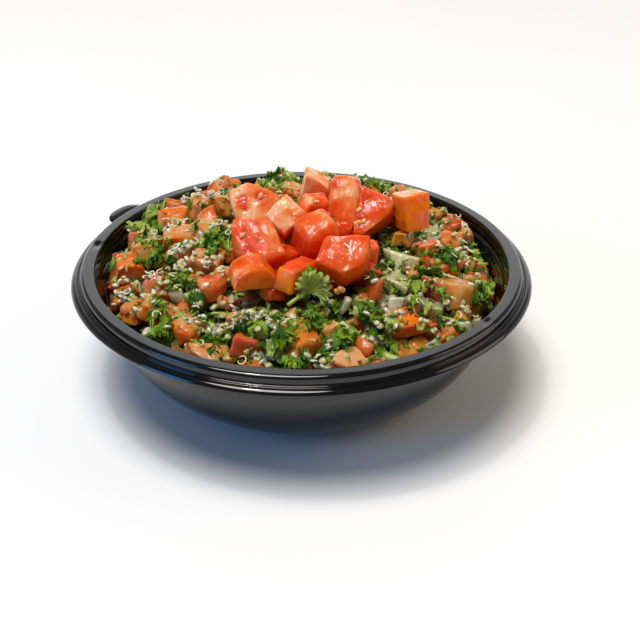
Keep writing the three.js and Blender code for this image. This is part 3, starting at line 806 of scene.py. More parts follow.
# %% Pile: make the chunks
for number, (name, chunk) in enumerate(PILE.items()):
    points, quads, skin, gel, tone, fibre = chunk_form(chunk, 100 + 7 * number)
    marks = {"skin": skin, "gel": gel, "tone": tone, "fibre": fibre + 40 * number}
    make_piece("cut_" + name, points, quads, fresh_tomato, "tomato", marks, [name])

# %% [markdown]
# ## The heap: how the pieces settle
# A heap looks like a heap because its pieces rest on each other. A full physics run of thousands
# of pieces would take minutes, so a simple rule stands in for it: a map keeps the height of the
# heap over every square millimetre. A piece is let down on the map until a small share of it
# would sink in, and then the map takes on the piece's own top. The outline of the heap is the
# part's: a flattened dome that stands a little higher at the back, with a hollow by the wall on
# the right.

# %% Heap: its outline
HEAP_RADIUS = 78
HEAP_EDGE = 43.8
HEAP_DOME = 19
HEAP_POWER = 2.2
REAR_RISE = 6.2
FRONT_FALL = 3
HOLLOW = dict(x=77, y=4, depth=9, spread=8)
CORE_SINK = 3
REACH = 82


def heap_height(x, y):
    """Height of the tops of the mixed pieces over the table, in mm."""
    reach = np.minimum(np.hypot(x, y) / HEAP_RADIUS, 1)
    edge = HEAP_EDGE + np.where(y > 0, REAR_RISE, FRONT_FALL) * y / HEAP_RADIUS
    away = (x - HOLLOW["x"]) ** 2 + (y - HOLLOW["y"]) ** 2
    hollow = HOLLOW["depth"] * np.exp(-away / (2 * HOLLOW["spread"] ** 2))
    return edge + HEAP_DOME * (1 - reach**HEAP_POWER) - hollow


def inside_radius(z):
    """Inside radius of the bowl at a height."""
    fall = np.clip((WALL_TOP - z) / (WALL_TOP - SHEET), 0, 1)
    curved = FOOT_RADIUS + (WALL_RADIUS - SHEET - FOOT_RADIUS) * np.sqrt(1 - fall**2)
    return np.where(z >= WALL_TOP + STEP_HEIGHT, STEP_RADIUS, curved)


axis = np.arange(-REACH, REACH + 1)
map_x, map_y = np.meshgrid(axis, axis, indexing="ij")
outline = heap_height(map_x, map_y)
in_bowl = np.hypot(map_x, map_y) < HEAP_RADIUS - 1
print(f"heap: from {outline[in_bowl].min():.1f} to {outline.max():.1f} mm over the table")

# %% [markdown]
# Under the pieces lies a core that fills the bowl. It only shows as a dark depth between them, so it
# is a plain lathe with relief as fine as the grain itself. Its dark colours are painted shade.

# %% Heap: the core
CORE_DEPTH = 7
CORE_GAP = 0.4
FLOOR_GAP = 0.3
CORE_RINGS = 24


def mixed_core():
    material, tree, shader, place = new_material("moist_mix_in_shade")
    spots = add(tree, "TexVoronoi", {"Vector": place, "Scale": per_metre(4)})
    # Painted shade: these colours are darker than the mix, for the shade deep between the pieces.
    shades = [(0.3, "1f3a12"), (0.5, "6a3a1e"), (0.75, "7c7a4c")]
    colour = add(tree, "ValToRGB", {"Fac": spots.outputs["Color"]}, shades)
    relief = add(tree, "Bump", {"Height": spots, "Strength": 0.8, "Distance": 1.0 * MM})
    plug(tree, shader, {"Base Color": colour, "Normal": relief, "Roughness": 0.35})
    return material


def core_form():
    """A lathe that fills the bowl, its upper rings set down on the heap's outline."""
    floor = FOOT_RECESS + SHEET + FLOOR_GAP
    wall = [p for p in wall_curve(SHEET + CORE_GAP, 16) if p[1] > floor + 0.5]
    turns = np.pi / 2 * np.arange(CORE_RINGS - 1, -1, -1) / CORE_RINGS
    dome = [(HEAP_RADIUS * math.sin(a), RIM + 10) for a in turns]
    points, faces = lathe([(0, floor), (FOOT_RADIUS, floor), *wall, *dome], 4 * CORE_RINGS)
    x, y, z = points.T
    cap = heap_height(x, y) - CORE_DEPTH + 1.2 * wobble(points * [1, 1, 0], 7, 5)
    on_top = z > RIM
    rim_ring = (z > WALL_TOP - 1) & ~on_top
    lowered = np.where(on_top | rim_ring, cap, np.minimum(z, cap - 1))
    room = inside_radius(np.minimum(lowered, WALL_TOP)) - CORE_GAP
    room /= np.maximum(np.hypot(x, y), 1e-6)
    fit = np.where(room < 1, room, 1)
    return np.stack([x * fit, y * fit, lowered], axis=1), faces


make_piece("salad_core", *core_form(), mixed_core(), "salad_mix", replaces=["salad"])

# %% Heap: the map and its rules
GAP_REACH = 27
GROUND_ROOM = 7


class Bed:
    """The rising surface of the heap, as a height for every square millimetre."""

    def __init__(self, top):
        self.top = top

    def cells(self, points):
        spots = np.clip(np.rint(points[:, :2]).astype(int) + REACH, 0, 2 * REACH)
        return spots[:, 0], spots[:, 1]

    def settle(self, points, share):
        """Lets points down until a share of them would lie under the surface."""
        gaps = self.top[self.cells(points)] - points[:, 2]
        return points + [0, 0, np.quantile(gaps, 1 - share)]

    def cover(self, points):
        np.maximum.at(self.top, self.cells(points), points[:, 2])

    def spot(self, tries):
        """A random place on the heap: of some tries, the one lowest under the outline."""
        radius = (HEAP_RADIUS - 1.5) * np.sqrt(rng.uniform(0, 1, tries))
        angle = rng.uniform(0, 2 * np.pi, tries)
        x, y = radius * np.cos(angle), radius * np.sin(angle)
        cells = self.cells(np.stack([x, y], axis=1))
        best = np.argmin(self.top[cells] - outline[cells])
        return x[best], y[best]


def keep_in_bowl(points):
    """Moves a piece towards the middle until it is clear of the wall."""
    middle = points[:, :2].mean(axis=0)
    out = middle / max(np.hypot(*middle), 1e-6)
    over = (np.hypot(points[:, 0], points[:, 1]) - inside_radius(points[:, 2]) + CORE_GAP).max()
    return points - [*(out * max(over, 0)), 0]


def pile_ground():
    """The cells under the pile, where no small piece of the mix lies."""
    ground = np.zeros(map_x.shape, dtype=bool)
    for x, y in [chunk["at"][:2] for chunk in PILE.values()] + [place[:2] for place in gaps]:
        ground |= np.hypot(map_x - x, map_y - y) < GROUND_ROOM
    return ground


def in_pile(points):
    """True if a piece lies on the pile's ground or any of its points inside a chunk."""
    middle = points.mean(axis=0, keepdims=True)
    if under_pile[bed.cells(middle)][0]:
        return True
    for chunk in PILE.values():
        own = (points - chunk["at"]) @ turned(np.eye(3), *chunk["turn"]).T
        if (np.abs(own) < np.array(chunk["size"]) / 2 - 0.2).all(axis=1).any():
            return True
    return False


places = [np.array(PILE[name]["at"], dtype=float) for name in PILE if name != "tomato_far_right"]
pairs = [(a, b) for i, a in enumerate(places) for b in places[:i]]
gaps = [(a + b) / 2 for a, b in pairs if np.hypot(*(a - b)[:2]) < GAP_REACH]
bed = Bed(np.where(in_bowl, outline - CORE_DEPTH, outline - CORE_DEPTH - 2))
under_pile = pile_ground()
print(f"the bed starts {CORE_DEPTH} mm under the outline, with {len(gaps)} gaps in the pile")

# %% Heap: add one piece to a batch
def land(batch, points, quads, tone, test=True, covers=True, **marks):
    """Adds a piece, clear of the wall, unless it lies in the pile. Two tones are a range."""
    points = keep_in_bowl(points)
    if test and in_pile(points):
        return
    if covers:
        bed.cover(points)
    tone = rng.uniform(*tone) if isinstance(tone, tuple) else tone
    batch.add(points, quads, tone=tone, **marks)


print("ready: land")

# %% [markdown]
# ## Diced tomato and onion in the mix
# The dice that show best from the front are placed one by one, where the part has them. Further
# dice fill the rest by rule: each takes a random place that is clear of the others. A second,
# deeper layer shows between them.

# %% Dice: where the large ones lie
# Each row: x, y, width, depth, height, yaw and, for tomato, the kind. Brown is from the dressing.
DICE = [
    (-71, -8, 10, 9, 9, 12, "skin"), (-61, -2, 14, 9, 9, -20, "flesh"),
    (-48, 3, 12, 9, 8, 8, "skin"), (-48, -12, 8, 7, 7, 35, "flesh"),
    (-53, 35, 10, 8, 8, 15, "brown"), (-42, 27, 9, 9, 9, 20, "flesh"),
    (-35, 25, 8, 9, 9, -12, "flesh"), (-34, -1, 14, 10, 8, 25, "flesh"),
    (-36, -20, 11, 9, 8, -15, "brown"), (-56, -26, 10, 9, 8, 30, "gel"),
    (-53, -41, 10, 8, 7, -8, "skin"), (-64, -37, 6, 12, 7, -20, "skin"),
    (-32, -35, 8, 8, 7, 20, "brown"), (-43, -49, 12, 9, 7, -25, "skin"),
    (-32, -63, 12, 8, 7, 8, "flesh"), (0, -61, 12, 11, 10, 40, "skin"),
    (-3, -51, 5, 5, 5, 10, "flesh"), (11, -55, 6, 6, 6, 35, "flesh"),
    (19, -68, 10, 8, 8, -10, "flesh"), (-18, -62, 12, 6, 8, 25, "gel"),
    (-17, -71, 7, 6, 5, 5, "skin"), (41, -62, 6, 5, 6, -35, "flesh"),
    (62, 26, 6, 8, 8, 20, "brown"), (69, 28, 11, 11, 9, -38, "flesh"),
    (49, -4, 8, 7, 6, 10, "brown"), (58, 5, 7, 7, 6, 40, "brown"),
    (56, -29, 11, 21, 9, -30, "gel"), (36, -49, 13, 9, 8, 12, "skin"),
    (53, -48, 8, 8, 7, 30, "skin"), (40, 0, 6, 6, 5, -10, "flesh"),
]
PALE_DICE = [
    (-62, 10, 8, 6, 5, 35), (-46, -36, 5, 4, 8, 10), (-37, -38, 4, 4, 7, -15),
    (-14, -57, 7, 5, 4, 5), (-8, -65, 9, 5, 5, -8), (17, -45, 3, 4, 7, 5),
    (21, -44, 3, 4, 8, -10), (38, -15, 12, 11, 6, 20), (36, -29, 13, 10, 5, -25),
    (36, -41, 8, 7, 5, 10), (53, 8, 6, 6, 6, 30), (50, -39, 8, 6, 6, -25), (36, -41, 5, 5, 6, 30),
    (43, -38, 6, 5, 5, -20), (61, -43, 10, 5, 5, 20), (49, -56, 5, 4, 5, 40),
    (36, 56, 7, 6, 6, 15),
]
print(f"{len(DICE)} dice of tomato and {len(PALE_DICE)} of onion are placed by hand")

# %% Dice: their forms
DICE_ROWS = 9
DICE_CUTS = 5
ONION_CUTS = 3
SIDES = ["+x", "-x", "+y", "-y", "+z"]


def dice_form(size, kind, side, seed, rows=DICE_ROWS):
    """A die of tomato, out of true, with skin on one side or gel in one side."""
    unit, quads = block(rows, rows, rows)
    draw = np.random.default_rng(seed)
    points = softened(unit, size, 0.13 * min(size))
    facing = unit[:, "xyz".index(side[1])] * (1 if side[0] == "+" else -1)
    skin = np.clip((facing - 0.75) * 4, 0, 1) if kind == "skin" else np.zeros(len(unit))
    gel = np.clip(facing, 0, 1) ** 2 if kind == "gel" else np.zeros(len(unit))
    reach = np.linalg.norm(size) / 2
    for corner in range(DICE_CUTS):
        normal = draw.normal(size=3)
        normal /= np.linalg.norm(normal)
        points = sliced(points, normal, draw.uniform(0.42, 0.7) * reach)
    fibre = points @ draw.normal(size=3) * 0.8 + 10 * seed
    narrow = 1 - draw.uniform(-0.1, 0.35, 2) * (unit[:, 2:] / 2 + 0.5)
    points[:, :2] *= narrow
    shear = draw.uniform(-0.28, 0.28, 4)
    points[:, 0] += shear[0] * points[:, 1] + shear[1] * points[:, 2]
    points[:, 1] += shear[2] * points[:, 2]
    points[:, 2] += shear[3] * points[:, 0]
    bend = draw.uniform(-0.02, 0.03)
    points[:, 2] -= bend * points[:, 0] ** 2
    out = points / np.linalg.norm(points, axis=1, keepdims=True)
    relief = 0.55 * wobble(points, 6, seed) + 0.3 * wobble(points, 2.6, seed + 1) - 0.7 * gel
    relief += 0.3 * gel * wobble(points, 1.8, seed + 2)
    return points + out * relief[:, None], quads, skin, gel, fibre


def onion_form(size, bend, seed):
    """A cut piece of an onion layer: a curved plate with its corners cut off, thin at one end."""
    unit, quads = block(8, 7, 4)
    draw = np.random.default_rng(seed)
    points = softened(unit, size, 0.1 * min(size))
    reach = np.hypot(size[0], size[1]) / 2
    for corner in range(ONION_CUTS):
        way = draw.uniform(0, 2 * np.pi)
        normal = np.array([np.cos(way), np.sin(way), draw.uniform(-0.6, 0.6)])
        normal /= np.linalg.norm(normal)
        points = sliced(points, normal, draw.uniform(0.45, 0.75) * reach)
    points[:, 2] *= 1 - draw.uniform(0.1, 0.5) * unit[:, 1]
    points[:, 2] -= bend * (points[:, 0] / size[0]) ** 2 * min(size[2], 2.5)
    out = points / np.linalg.norm(points, axis=1, keepdims=True)
    return points + out * (0.16 * wobble(points, 2.5, seed))[:, None], quads


print("a die has", 2 * len(block(DICE_ROWS, DICE_ROWS, DICE_ROWS)[1]), "triangles")

# %% [markdown]
# Between the chunks of the pile one sees more tomato, never the bare heap. What lies there is
# hidden, so it needs no shape of its own: low scraps of red flesh, made like the dice, fill the gap
# between every two neighbours.

# %% Pile: scraps of flesh in its gaps
SCRAP_SINK = 6.5
scraps = Batch()
for number, gap in enumerate(gaps):
    size = rng.uniform(8, 12, 3)
    points, quads, skin, gel, fibre = dice_form(size, "gel", "+z", 5000 + number)
    points = turned(points, *rng.uniform(-30, 30, 2), rng.uniform(0, 360))
    points = points + gap - [0, 0, SCRAP_SINK]
    bed.cover(points)
    tone = rng.uniform(0.1, 0.5)
    scraps.add(points, quads, skin=skin, gel=gel, fibre=fibre, tone=tone, amber=0)
scraps.make("scraps_in_pile", fresh_tomato, "tomato")

# %% Dice: lay them in the heap
# Real dice bulge and lie on top of the grain, so they are wider than the part's and raised. At the
# back and in front they lie deeper. What lies deep is hardly seen and has fewer rows.
DICE_LIFT = 2.7
DICE_GROWTH = 1.34
ONION_LIFT = 1.0
REAR_FROM = 32
REAR_DEEPER = 1.5
FRONT_FROM = -44
FRONT_DEEPER = 3.2
DICE_TILT = 22
DEEP_FROM = 2
DEEP_ROWS = 4
DICE_TONES = {"flesh": 0.75, "brown": 0.45, "skin": 0.6, "gel": 0.55}
dice = Batch()
onion = Batch()


def lay_die(x, y, size, yaw, kind, side, seed, depth=0.0):
    """Lays a die at a random tilt. One that has a depth keeps out of the pile."""
    rows = DICE_ROWS if depth < DEEP_FROM else DEEP_ROWS
    points, quads, skin, gel, fibre = dice_form(size, kind, side, seed, rows)
    draw = np.random.default_rng(seed)
    points = turned(turned(points, 0, 0, yaw), *draw.uniform(-DICE_TILT, DICE_TILT, 2), 0)
    depth += REAR_DEEPER * (y > REAR_FROM) + FRONT_DEEPER * (y < FRONT_FROM)
    points = points + [x, y, heap_height(x, y) - CORE_SINK + 0.1 * size[2] + DICE_LIFT - depth]
    tone = DICE_TONES[kind] + draw.uniform(-0.4, 0.4)
    marks = dict(skin=skin, gel=gel, fibre=fibre, amber=draw.uniform(0, 0.95) ** 2)
    land(dice, points, quads, tone, test=bool(depth), **marks)


def lay_onion(x, y, size, yaw, seed, tilt=12, depth=0.0):
    points, quads = onion_form(size, rng.uniform(-2, 2), seed)
    points = turned(turned(points, 0, 0, yaw), *rng.uniform(-tilt, tilt, 2), 0)
    points = points + [x, y, heap_height(x, y) - CORE_SINK + 0.1 * size[2] - depth]
    land(onion, points, quads, (0, 0.45))


for number, (x, y, width, deep, height, yaw, kind) in enumerate(DICE):
    sizes = np.array([width * DICE_GROWTH, deep * DICE_GROWTH, height])
    lay_die(x, y, sizes, yaw, kind, "-y" if number % 3 else "+z", 300 + number)
for number, (x, y, width, deep, height, yaw) in enumerate(PALE_DICE):
    lay_onion(x, y, (width, deep, height), yaw, 400 + number, 24, -ONION_LIFT)
print(f"{len(dice.points)} dice and {len(onion.points)} pieces of onion")

# %% Dice: more of them by rule
RANDOM_DICE = 500
DEEP_DICE = 230
TOMATO_SHARE = 0.7
DEEP_TOMATO_SHARE = 0.6
taken = [(x, y, w / 2) for x, y, w, *_ in DICE + PALE_DICE]


def clear_spot(room, inset):
    """A random place clear of the dice laid so far, or None."""
    x, y = bed.spot(1)
    far = all(math.hypot(x - a, y - b) > r + room for a, b, r in taken)
    return (x, y) if far and math.hypot(x, y) < HEAP_RADIUS - inset else None


for attempt in range(RANDOM_DICE):
    size = rng.uniform(7, 13)
    spot = clear_spot(size * 0.42, size * 0.4)
    if spot is None or spot[1] < FRONT_FROM:
        continue
    taken.append((*spot, size / 2))
    if rng.uniform() < TOMATO_SHARE:
        kind = rng.choice(["flesh", "brown", "skin", "gel"])
        sizes = (size, size * rng.uniform(0.6, 1), size * rng.uniform(0.45, 0.75))
        lay_die(*spot, sizes, rng.uniform(0, 360), kind, rng.choice(SIDES), 1000 + attempt, 0.5)
    else:
        sizes = (size * 0.8, size * rng.uniform(0.5, 0.8), rng.uniform(2.5, 4.5))
        lay_onion(*spot, sizes, rng.uniform(0, 360), 1000 + attempt, 25, 0.3)
for layer in range(DEEP_DICE):
    x, y = bed.spot(12)
    size = rng.uniform(6, 11)
    below = 1.8 + rng.uniform(0, 2.2)
    if rng.uniform() < DEEP_TOMATO_SHARE:
        kind = rng.choice(["flesh", "brown", "skin"])
        sizes = (size, size * 0.9, size * 0.7)
        lay_die(x, y, sizes, rng.uniform(0, 360), kind, "+z", 3000 + layer, below)
    else:
        lay_onion(x, y, (size, size * 0.6, 3), rng.uniform(0, 360), 3000 + layer, 30, below - 1)
print(f"{len(dice.points)} dice and {len(onion.points)} pieces of onion")

# %% [markdown]
# ## Chopped parsley
# Curly parsley is all edge: a small fan whose margin is cut into lobes and ruffled up and down.
# A sheet with two sides is bent into such a fan. Chopping leaves some fans whole and most of them
# in shreds, so there are two sizes. They fall into the low places first, which is where a
# fork pushes them. On the left, where the dice lie closest, there are fewer of them.

# %% Parsley: forms
LEAF_THICK = 0.3
# Rows of quads from the stalk end to the margin, and across.
CLUMP_GRID = (4, 30)
FAN_GRID = (3, 24)
SHRED_GRID = (2, 9)
SPECK_GRID = (1, 2)


def parsley_fan(length, draw, grid):
    """One frilly bit of leaf, lying flat, with its stalk end near the origin."""
    u, v, side, quads = sheet(*grid)
    spread = np.radians(draw.uniform(45, 100))
    lobes = draw.uniform(4.5, 7.5)
    phase = draw.uniform(0, 6.3)
    cut = 0.5 + 0.5 * np.abs(np.cos(lobes * np.pi / 2 * v + phase)) ** 0.6
    reach = length * u * (1 - u * (1 - cut))
    angle = spread * v * (0.35 + 0.65 * u)
    waves = draw.uniform(4, 7)
    ruffle = length * draw.uniform(0.12, 0.26) * u**1.5 * np.sin(waves * np.pi * v + phase)
    curl = length * draw.uniform(-0.3, 0.5) * u**2
    cup = length * draw.uniform(-0.1, 0.35) * v**2 * u
    width = 0.12 * length * (1 - u) * v
    x = reach * np.cos(angle) - length * 0.45
    y = reach * np.sin(angle) + width
    z = ruffle + curl + cup + side * LEAF_THICK / 2
    return np.stack([x, y, z], axis=1), quads


def lay_leaf(batch, form, x, y, share, tilt, tone, drape=0.0):
    """Turns a leaf at random, lets it down, and drapes it over what it lies on."""
    points, quads = form
    points = turned(points, *rng.uniform(-tilt, tilt, 2), rng.uniform(0, 360))
    points = points + [x, y, 0]
    points = bed.settle(points, share)
    sag = bed.top[bed.cells(points)] + 0.3 - (points[:, 2] - 0.5 * np.ptp(points[:, 2]))
    points[:, 2] += drape * np.clip(sag, -4, 2)
    land(batch, points, quads, tone)


print("a loose fan has", 2 * len(sheet(*FAN_GRID)[3]), "triangles")

# %% Parsley: the clumps that show best
# Each row: x, y and width of a clump, in mm.
CLUMPS = [
    (-66, 26, 19), (-32, -12, 12), (-60, -9, 9), (-51, -54, 11), (-15, -52, 11), (4, -55, 9),
    (-8, -73, 6), (0, -74, 7), (25, -49, 6), (36, 62, 20), (75, 19, 9), (50, -26, 7),
    (70, -26, 8), (-11, 58, 16), (-30, -57, 8), (-5, -66, 8), (14, -61, 10), (30, -57, 9),
    (-44, -30, 8), (56, -14, 8),
]
LOOSE_FANS = 270
SHREDS = 1050
SPARSE_FROM = -18
SPARSE_SHARE = 0.5
fans = Batch()
shreds = Batch()


def sparse(x):
    """True for the bits that are left out on the left, where the dice lie closest."""
    return x < SPARSE_FROM and rng.uniform() < SPARSE_SHARE


for x, y, width in CLUMPS:
    for leaf in range(int(3 + width * 0.7)):
        dx, dy = rng.normal(0, width * 0.27, 2)
        length = rng.uniform(0.45, 0.7) * np.clip(width, 9, 13)
        form = parsley_fan(length, rng, CLUMP_GRID)
        lay_leaf(fans, form, x + dx, y + dy, 0.45, 30, rng.uniform(0.1, 0.6), 0.5)
print(f"{len(fans.points)} fans in clumps")

# %% Parsley: the rest, from the low places up
for leaf in range(LOOSE_FANS):
    x, y = bed.spot(14)
    if sparse(x):
        continue
    form = parsley_fan(rng.uniform(3.5, 7.5), rng, FAN_GRID)
    lay_leaf(fans, form, x, y, 0.45, 45, rng.uniform(-0.1, 0.65), 0.4)
for bit in range(SHREDS):
    x, y = bed.spot(8 if bit % 5 else 1)
    if sparse(x):
        continue
    form = parsley_fan(rng.uniform(1.6, 4.0), rng, SHRED_GRID)
    lay_leaf(shreds, form, x, y, 0.4, 50, rng.uniform(-0.1, 0.75), 0.4)
level = (bed.top - outline)[in_bowl]
print(f"{len(fans.points)} fans and {len(shreds.points)} shreds, level {level.mean():.1f} mm")

# %% [markdown]
# ## Quinoa
# A cooked grain is a clear bead about 2.4 mm across. The germ is a white thread round its rim, and
# it is what catches the eye, so the bead is a small lathe with a raised rim whose points are
# marked for the material. Loose germs are tubes bent into three quarters of a ring.

# %% Quinoa: forms
GRAIN_OUTLINE = [(0.08, -0.5), (0.62, -0.46), (0.8, -0.4), (1.0, -0.22), (1.06, 0.0)]
GRAIN_FACETS = 11
GERM_RADIUS = 0.26


def grain_form(width, draw):
    """A bead with a raised white rim, as points, quads and rim marks."""
    half = GRAIN_OUTLINE + [(r, -z) for r, z in GRAIN_OUTLINE[-2::-1]]
    turn = np.arange(GRAIN_FACETS) * 2 * np.pi / GRAIN_FACETS
    radius, height = np.array(half).T
    radius = radius[:, None] * (1 + 0.05 * np.sin(turn * 2 + draw.uniform(0, 6)))
    flat = np.broadcast_to(height[:, None] * draw.uniform(0.8, 1.25), radius.shape)
    ring = np.stack([radius * np.cos(turn), radius * np.sin(turn) * 0.92, flat], axis=2)
    gap = 0.5 + 0.5 * np.tanh(3 * (np.cos(turn - draw.uniform(0, 6)) + 0.8))
    rim = np.clip((radius - 0.86) * 6, 0, 1) * gap
    return ring.reshape(-1, 3) * width / 2, ring_quads(len(half), GRAIN_FACETS), rim.ravel()


def germ_form(radius, draw):
    """A loose germ: a thread bent into part of a ring, thinner at its ends."""
    sweep = np.radians(draw.uniform(170, 330))
    turn = np.linspace(0, sweep, 13)
    lift = draw.uniform(-0.5, 0.9) * radius * (turn / sweep) ** 2
    reach = radius * (1 + draw.uniform(-0.1, 0.5) * turn / sweep)
    path = np.stack([reach * np.cos(turn), reach * np.sin(turn), lift], axis=1)
    thick = GERM_RADIUS * (0.6 + 0.4 * np.sin(np.pi * np.linspace(0.1, 0.9, 13)))
    return tube(path, thick)


# How much of a piece's own height sinks between what it lies on.
GRAIN_SHARE = 0.4
GERM_SHARE = 0.12
beads = Batch()
germs = Batch()


def lay_grain(x, y):
    points, quads, rim = grain_form(rng.uniform(1.9, 3.0), rng)
    points = turned(points, *rng.uniform(-55, 55, 2), 0) + [x, y, 0]
    land(beads, bed.settle(points, GRAIN_SHARE), quads, (0, 0.6), rim=rim)


def lay_germ(x, y):
    points, quads = germ_form(rng.uniform(0.9, 1.5), rng)
    points = turned(points, *rng.uniform(-35, 35, 2), rng.uniform(0, 360)) + [x, y, 0]
    land(germs, bed.settle(points, GERM_SHARE), quads, (0, 0.6), covers=False)


print("grain_form and germ_form are ready")

# %% Quinoa: clusters, then the rest
# Each row: x, y and how many grains lie together.
CLUSTERS = [
    (-46, -14, 30), (-43, -26, 12), (-38, -48, 14), (-24, -44, 16), (-26, -55, 14), (-60, -40, 8),
    (-73, -22, 14), (-70, -30, 8), (-33, -27, 12), (8, -69, 10), (33, -50, 12), (-52, -32, 8),
    (-50, 38, 8), (-40, 48, 8), (58, -8, 8), (66, 6, 12), (64, -8, 8), (46, 0, 8), (28, -58, 6),
    (44, -50, 6), (62, -36, 8), (-20, -52, 12), (-13, -54, 10), (-6, -57, 8), (-27, -50, 8),
]
LOOSE_GRAINS = 340
LOOSE_GERMS = 150
CLUSTER_WIDTH = 2.6
for x, y, count in CLUSTERS:
    for grain in range(count):
        dx, dy = rng.normal(0, CLUSTER_WIDTH, 2)
        lay_grain(x + dx, y + dy)
for grain in range(LOOSE_GRAINS):
    lay_grain(*bed.spot(4 if grain % 2 else 1))
for thread in range(LOOSE_GERMS):
    lay_germ(*bed.spot(1))
print(f"{len(beads.points)} grains and {len(germs.points)} loose germs")

# %% [markdown]
# ## Last touches in the mix
# Short lengths of stalk stick out here and there, and specks of parsley cling to the wet tomato.

# %% Stalks and specks
# Each row: x, y, length, width and the way it points in degrees.
STALKS = [
    (34, -65, 9, 3.4, -25), (76, 11, 7, 1.6, 10), (-41, -37, 5, 3.4, 60), (74, -20, 7, 1.4, 20),
    (-20, -50, 10, 1.0, 35),
]
STALK_SHARE = 0.25
LOOSE_STALKS = 35
SPECKS = 1100
stalks = Batch()
specks = Batch()


def lay_stalk(x, y, length, width, yaw, tilt):
    steps = np.linspace(-0.5, 0.5, 7)
    bend = rng.uniform(-0.12, 0.12) * length
    path = np.stack([steps * length, bend * (2 * steps) ** 2, 0 * steps], axis=1)
    points, quads = tube(path, width / 2)
    points = turned(turned(points, 0, tilt, 0), 0, 0, yaw) + [x, y, 0]
    land(stalks, bed.settle(points, STALK_SHARE), quads, (0, 0.5))


for x, y, length, width, yaw in STALKS:
    lay_stalk(x, y, length, width, yaw, rng.uniform(-12, 12))
for number in range(LOOSE_STALKS):
    spot = bed.spot(3)
    length, width, yaw, tilt = (rng.uniform(*r) for r in ((4, 9), (0.9, 1.8), (0, 360), (-25, 25)))
    lay_stalk(*spot, length, width, yaw, tilt)
for number in range(SPECKS):
    x, y = bed.spot(1)
    form = parsley_fan(rng.uniform(0.7, 1.6), rng, SPECK_GRID)
    lay_leaf(specks, form, x, y, 0.4, 30, rng.uniform(0, 0.3))
print(f"{len(stalks.points)} stalks and {len(specks.points)} specks")

# %% Make the meshes of the mix
for batch, name, material in (
    (dice, "diced_tomato", dressed_tomato),
    (onion, "chopped_onion", onion_white),
    (fans, "parsley_fans", parsley_green),
    (shreds, "parsley_shreds", parsley_green),
    (beads, "quinoa_grains", quinoa_bead),
    (germs, "quinoa_germs", quinoa_germ),
    (stalks, "parsley_stalks", green_stem),
    (specks, "parsley_specks", parsley_green),
):
    batch.make(name, material, "salad_mix")

# %% [markdown]
# ## Seeds and a sprouted thread on the pile
# A few seeds stayed in the cut gel, and one thread with two ends clings to the front chunk. They
# are placed in the chunk's own frame, so that they follow its turned face. A small brown bud lies
# beside the sprig.

# %% Seeds and the thread on the pile
# Each row: the chunk, the seed's place on it as shares of its half size, and its turn.
SEEDS = [
    ("tomato_rear_left", 0.3, 0.32, 1.0, 60), ("tomato_left", -0.54, 0.18, 1.02, 15),
    ("tomato_right", -0.54, -0.02, 0.98, 50), ("tomato_right", -0.22, -0.47, 0.96, 20),
    ("tomato_right", -0.05, -0.35, 0.94, 80), ("tomato_right", -0.34, -0.6, 0.94, -30),
    ("tomato_core", -0.3, -0.6, 1.0, 0),
]
BUD_AT = np.array([14.5, -44.0, 58.5])
BUD = [(-0.9, 0, 0), (0.9, 0.3, 0.4), (0.2, -0.7, 1.2)]
SEED_HALF = [1.6, 1.05, 0.6]
BUD_HALF = [1.3, 1.1, 1.2]
THREAD_RADIUS = 0.34
LONG_ARM = [(-0.9, 0.9, 0), (0.4, 0.6, 0), (2.0, 0.0, 0), (3.2, -1.4, 0), (3.9, -3.0, 0)]
SHORT_ARM = [(1.2, 3.4, -0.1), (1.4, 2.2, 0), (1.8, 1.0, 0), (2.2, -0.2, 0)]
seeds = Batch()
ball, ball_quads = block(5, 5, 5, 1.0)
ball = ball / np.linalg.norm(ball, axis=1, keepdims=True)
for name, u, v, w, yaw in SEEDS:
    chunk = PILE[name]
    seed = turned(ball * SEED_HALF, 0, 0, yaw)
    centre = np.array([u, v, w]) * np.array(chunk["size"]) / 2
    seeds.add(chunk_place(chunk, seed + centre), ball_quads, tone=0.2)
for dx, dy, dz in BUD:
    lump = turned(ball * BUD_HALF, 20 * dx, 30, 40 * dy) + BUD_AT
    seeds.add(lump + [dx, dy, dz], ball_quads, tone=0.1)
seeds.make("tomato_seeds", seed_yellow, "tomato")

threads = Batch()
front = PILE["tomato_front_right"]
top = front["size"][2] / 2 * (1 + CROWN) + 0.2
for arm in (LONG_ARM, SHORT_ARM):
    points, quads = tube(np.array(arm) + [0, 0, top], THREAD_RADIUS)
    threads.add(chunk_place(front, points), quads, tone=0.5)
threads.make("germ_on_pile", quinoa_germ, "tomato")

# %% [markdown]
# ## The sprig
# One leaf stands in front of the pile. It has five lobes, each cut again, and ribs that run from
# the stalk to the lobe tips. The outline is a formula in the angle from the tip, as in the part,
# and the fine version adds the second cut and the ribs. Four paler lobes with raised tips spread
# from the same stalk and make it full, as curly parsley is.

# %% Sprig: leaf and stalk
LEAF_RADIUS = 7.5
FINGER_GRID = (6, 34)
FINGERS = [(6.5, 135), (8.5, 95), (8, 50), (6.5, 15)]
STALK_BENDS = [(0, -1, 0), (-4, -3, -0.4), (-9, -6, -1)]
STALK_RADIUS = 0.75
SPRIG_AT = (4, -45, 61)
SPRIG_TURN = (48, 0, 10)


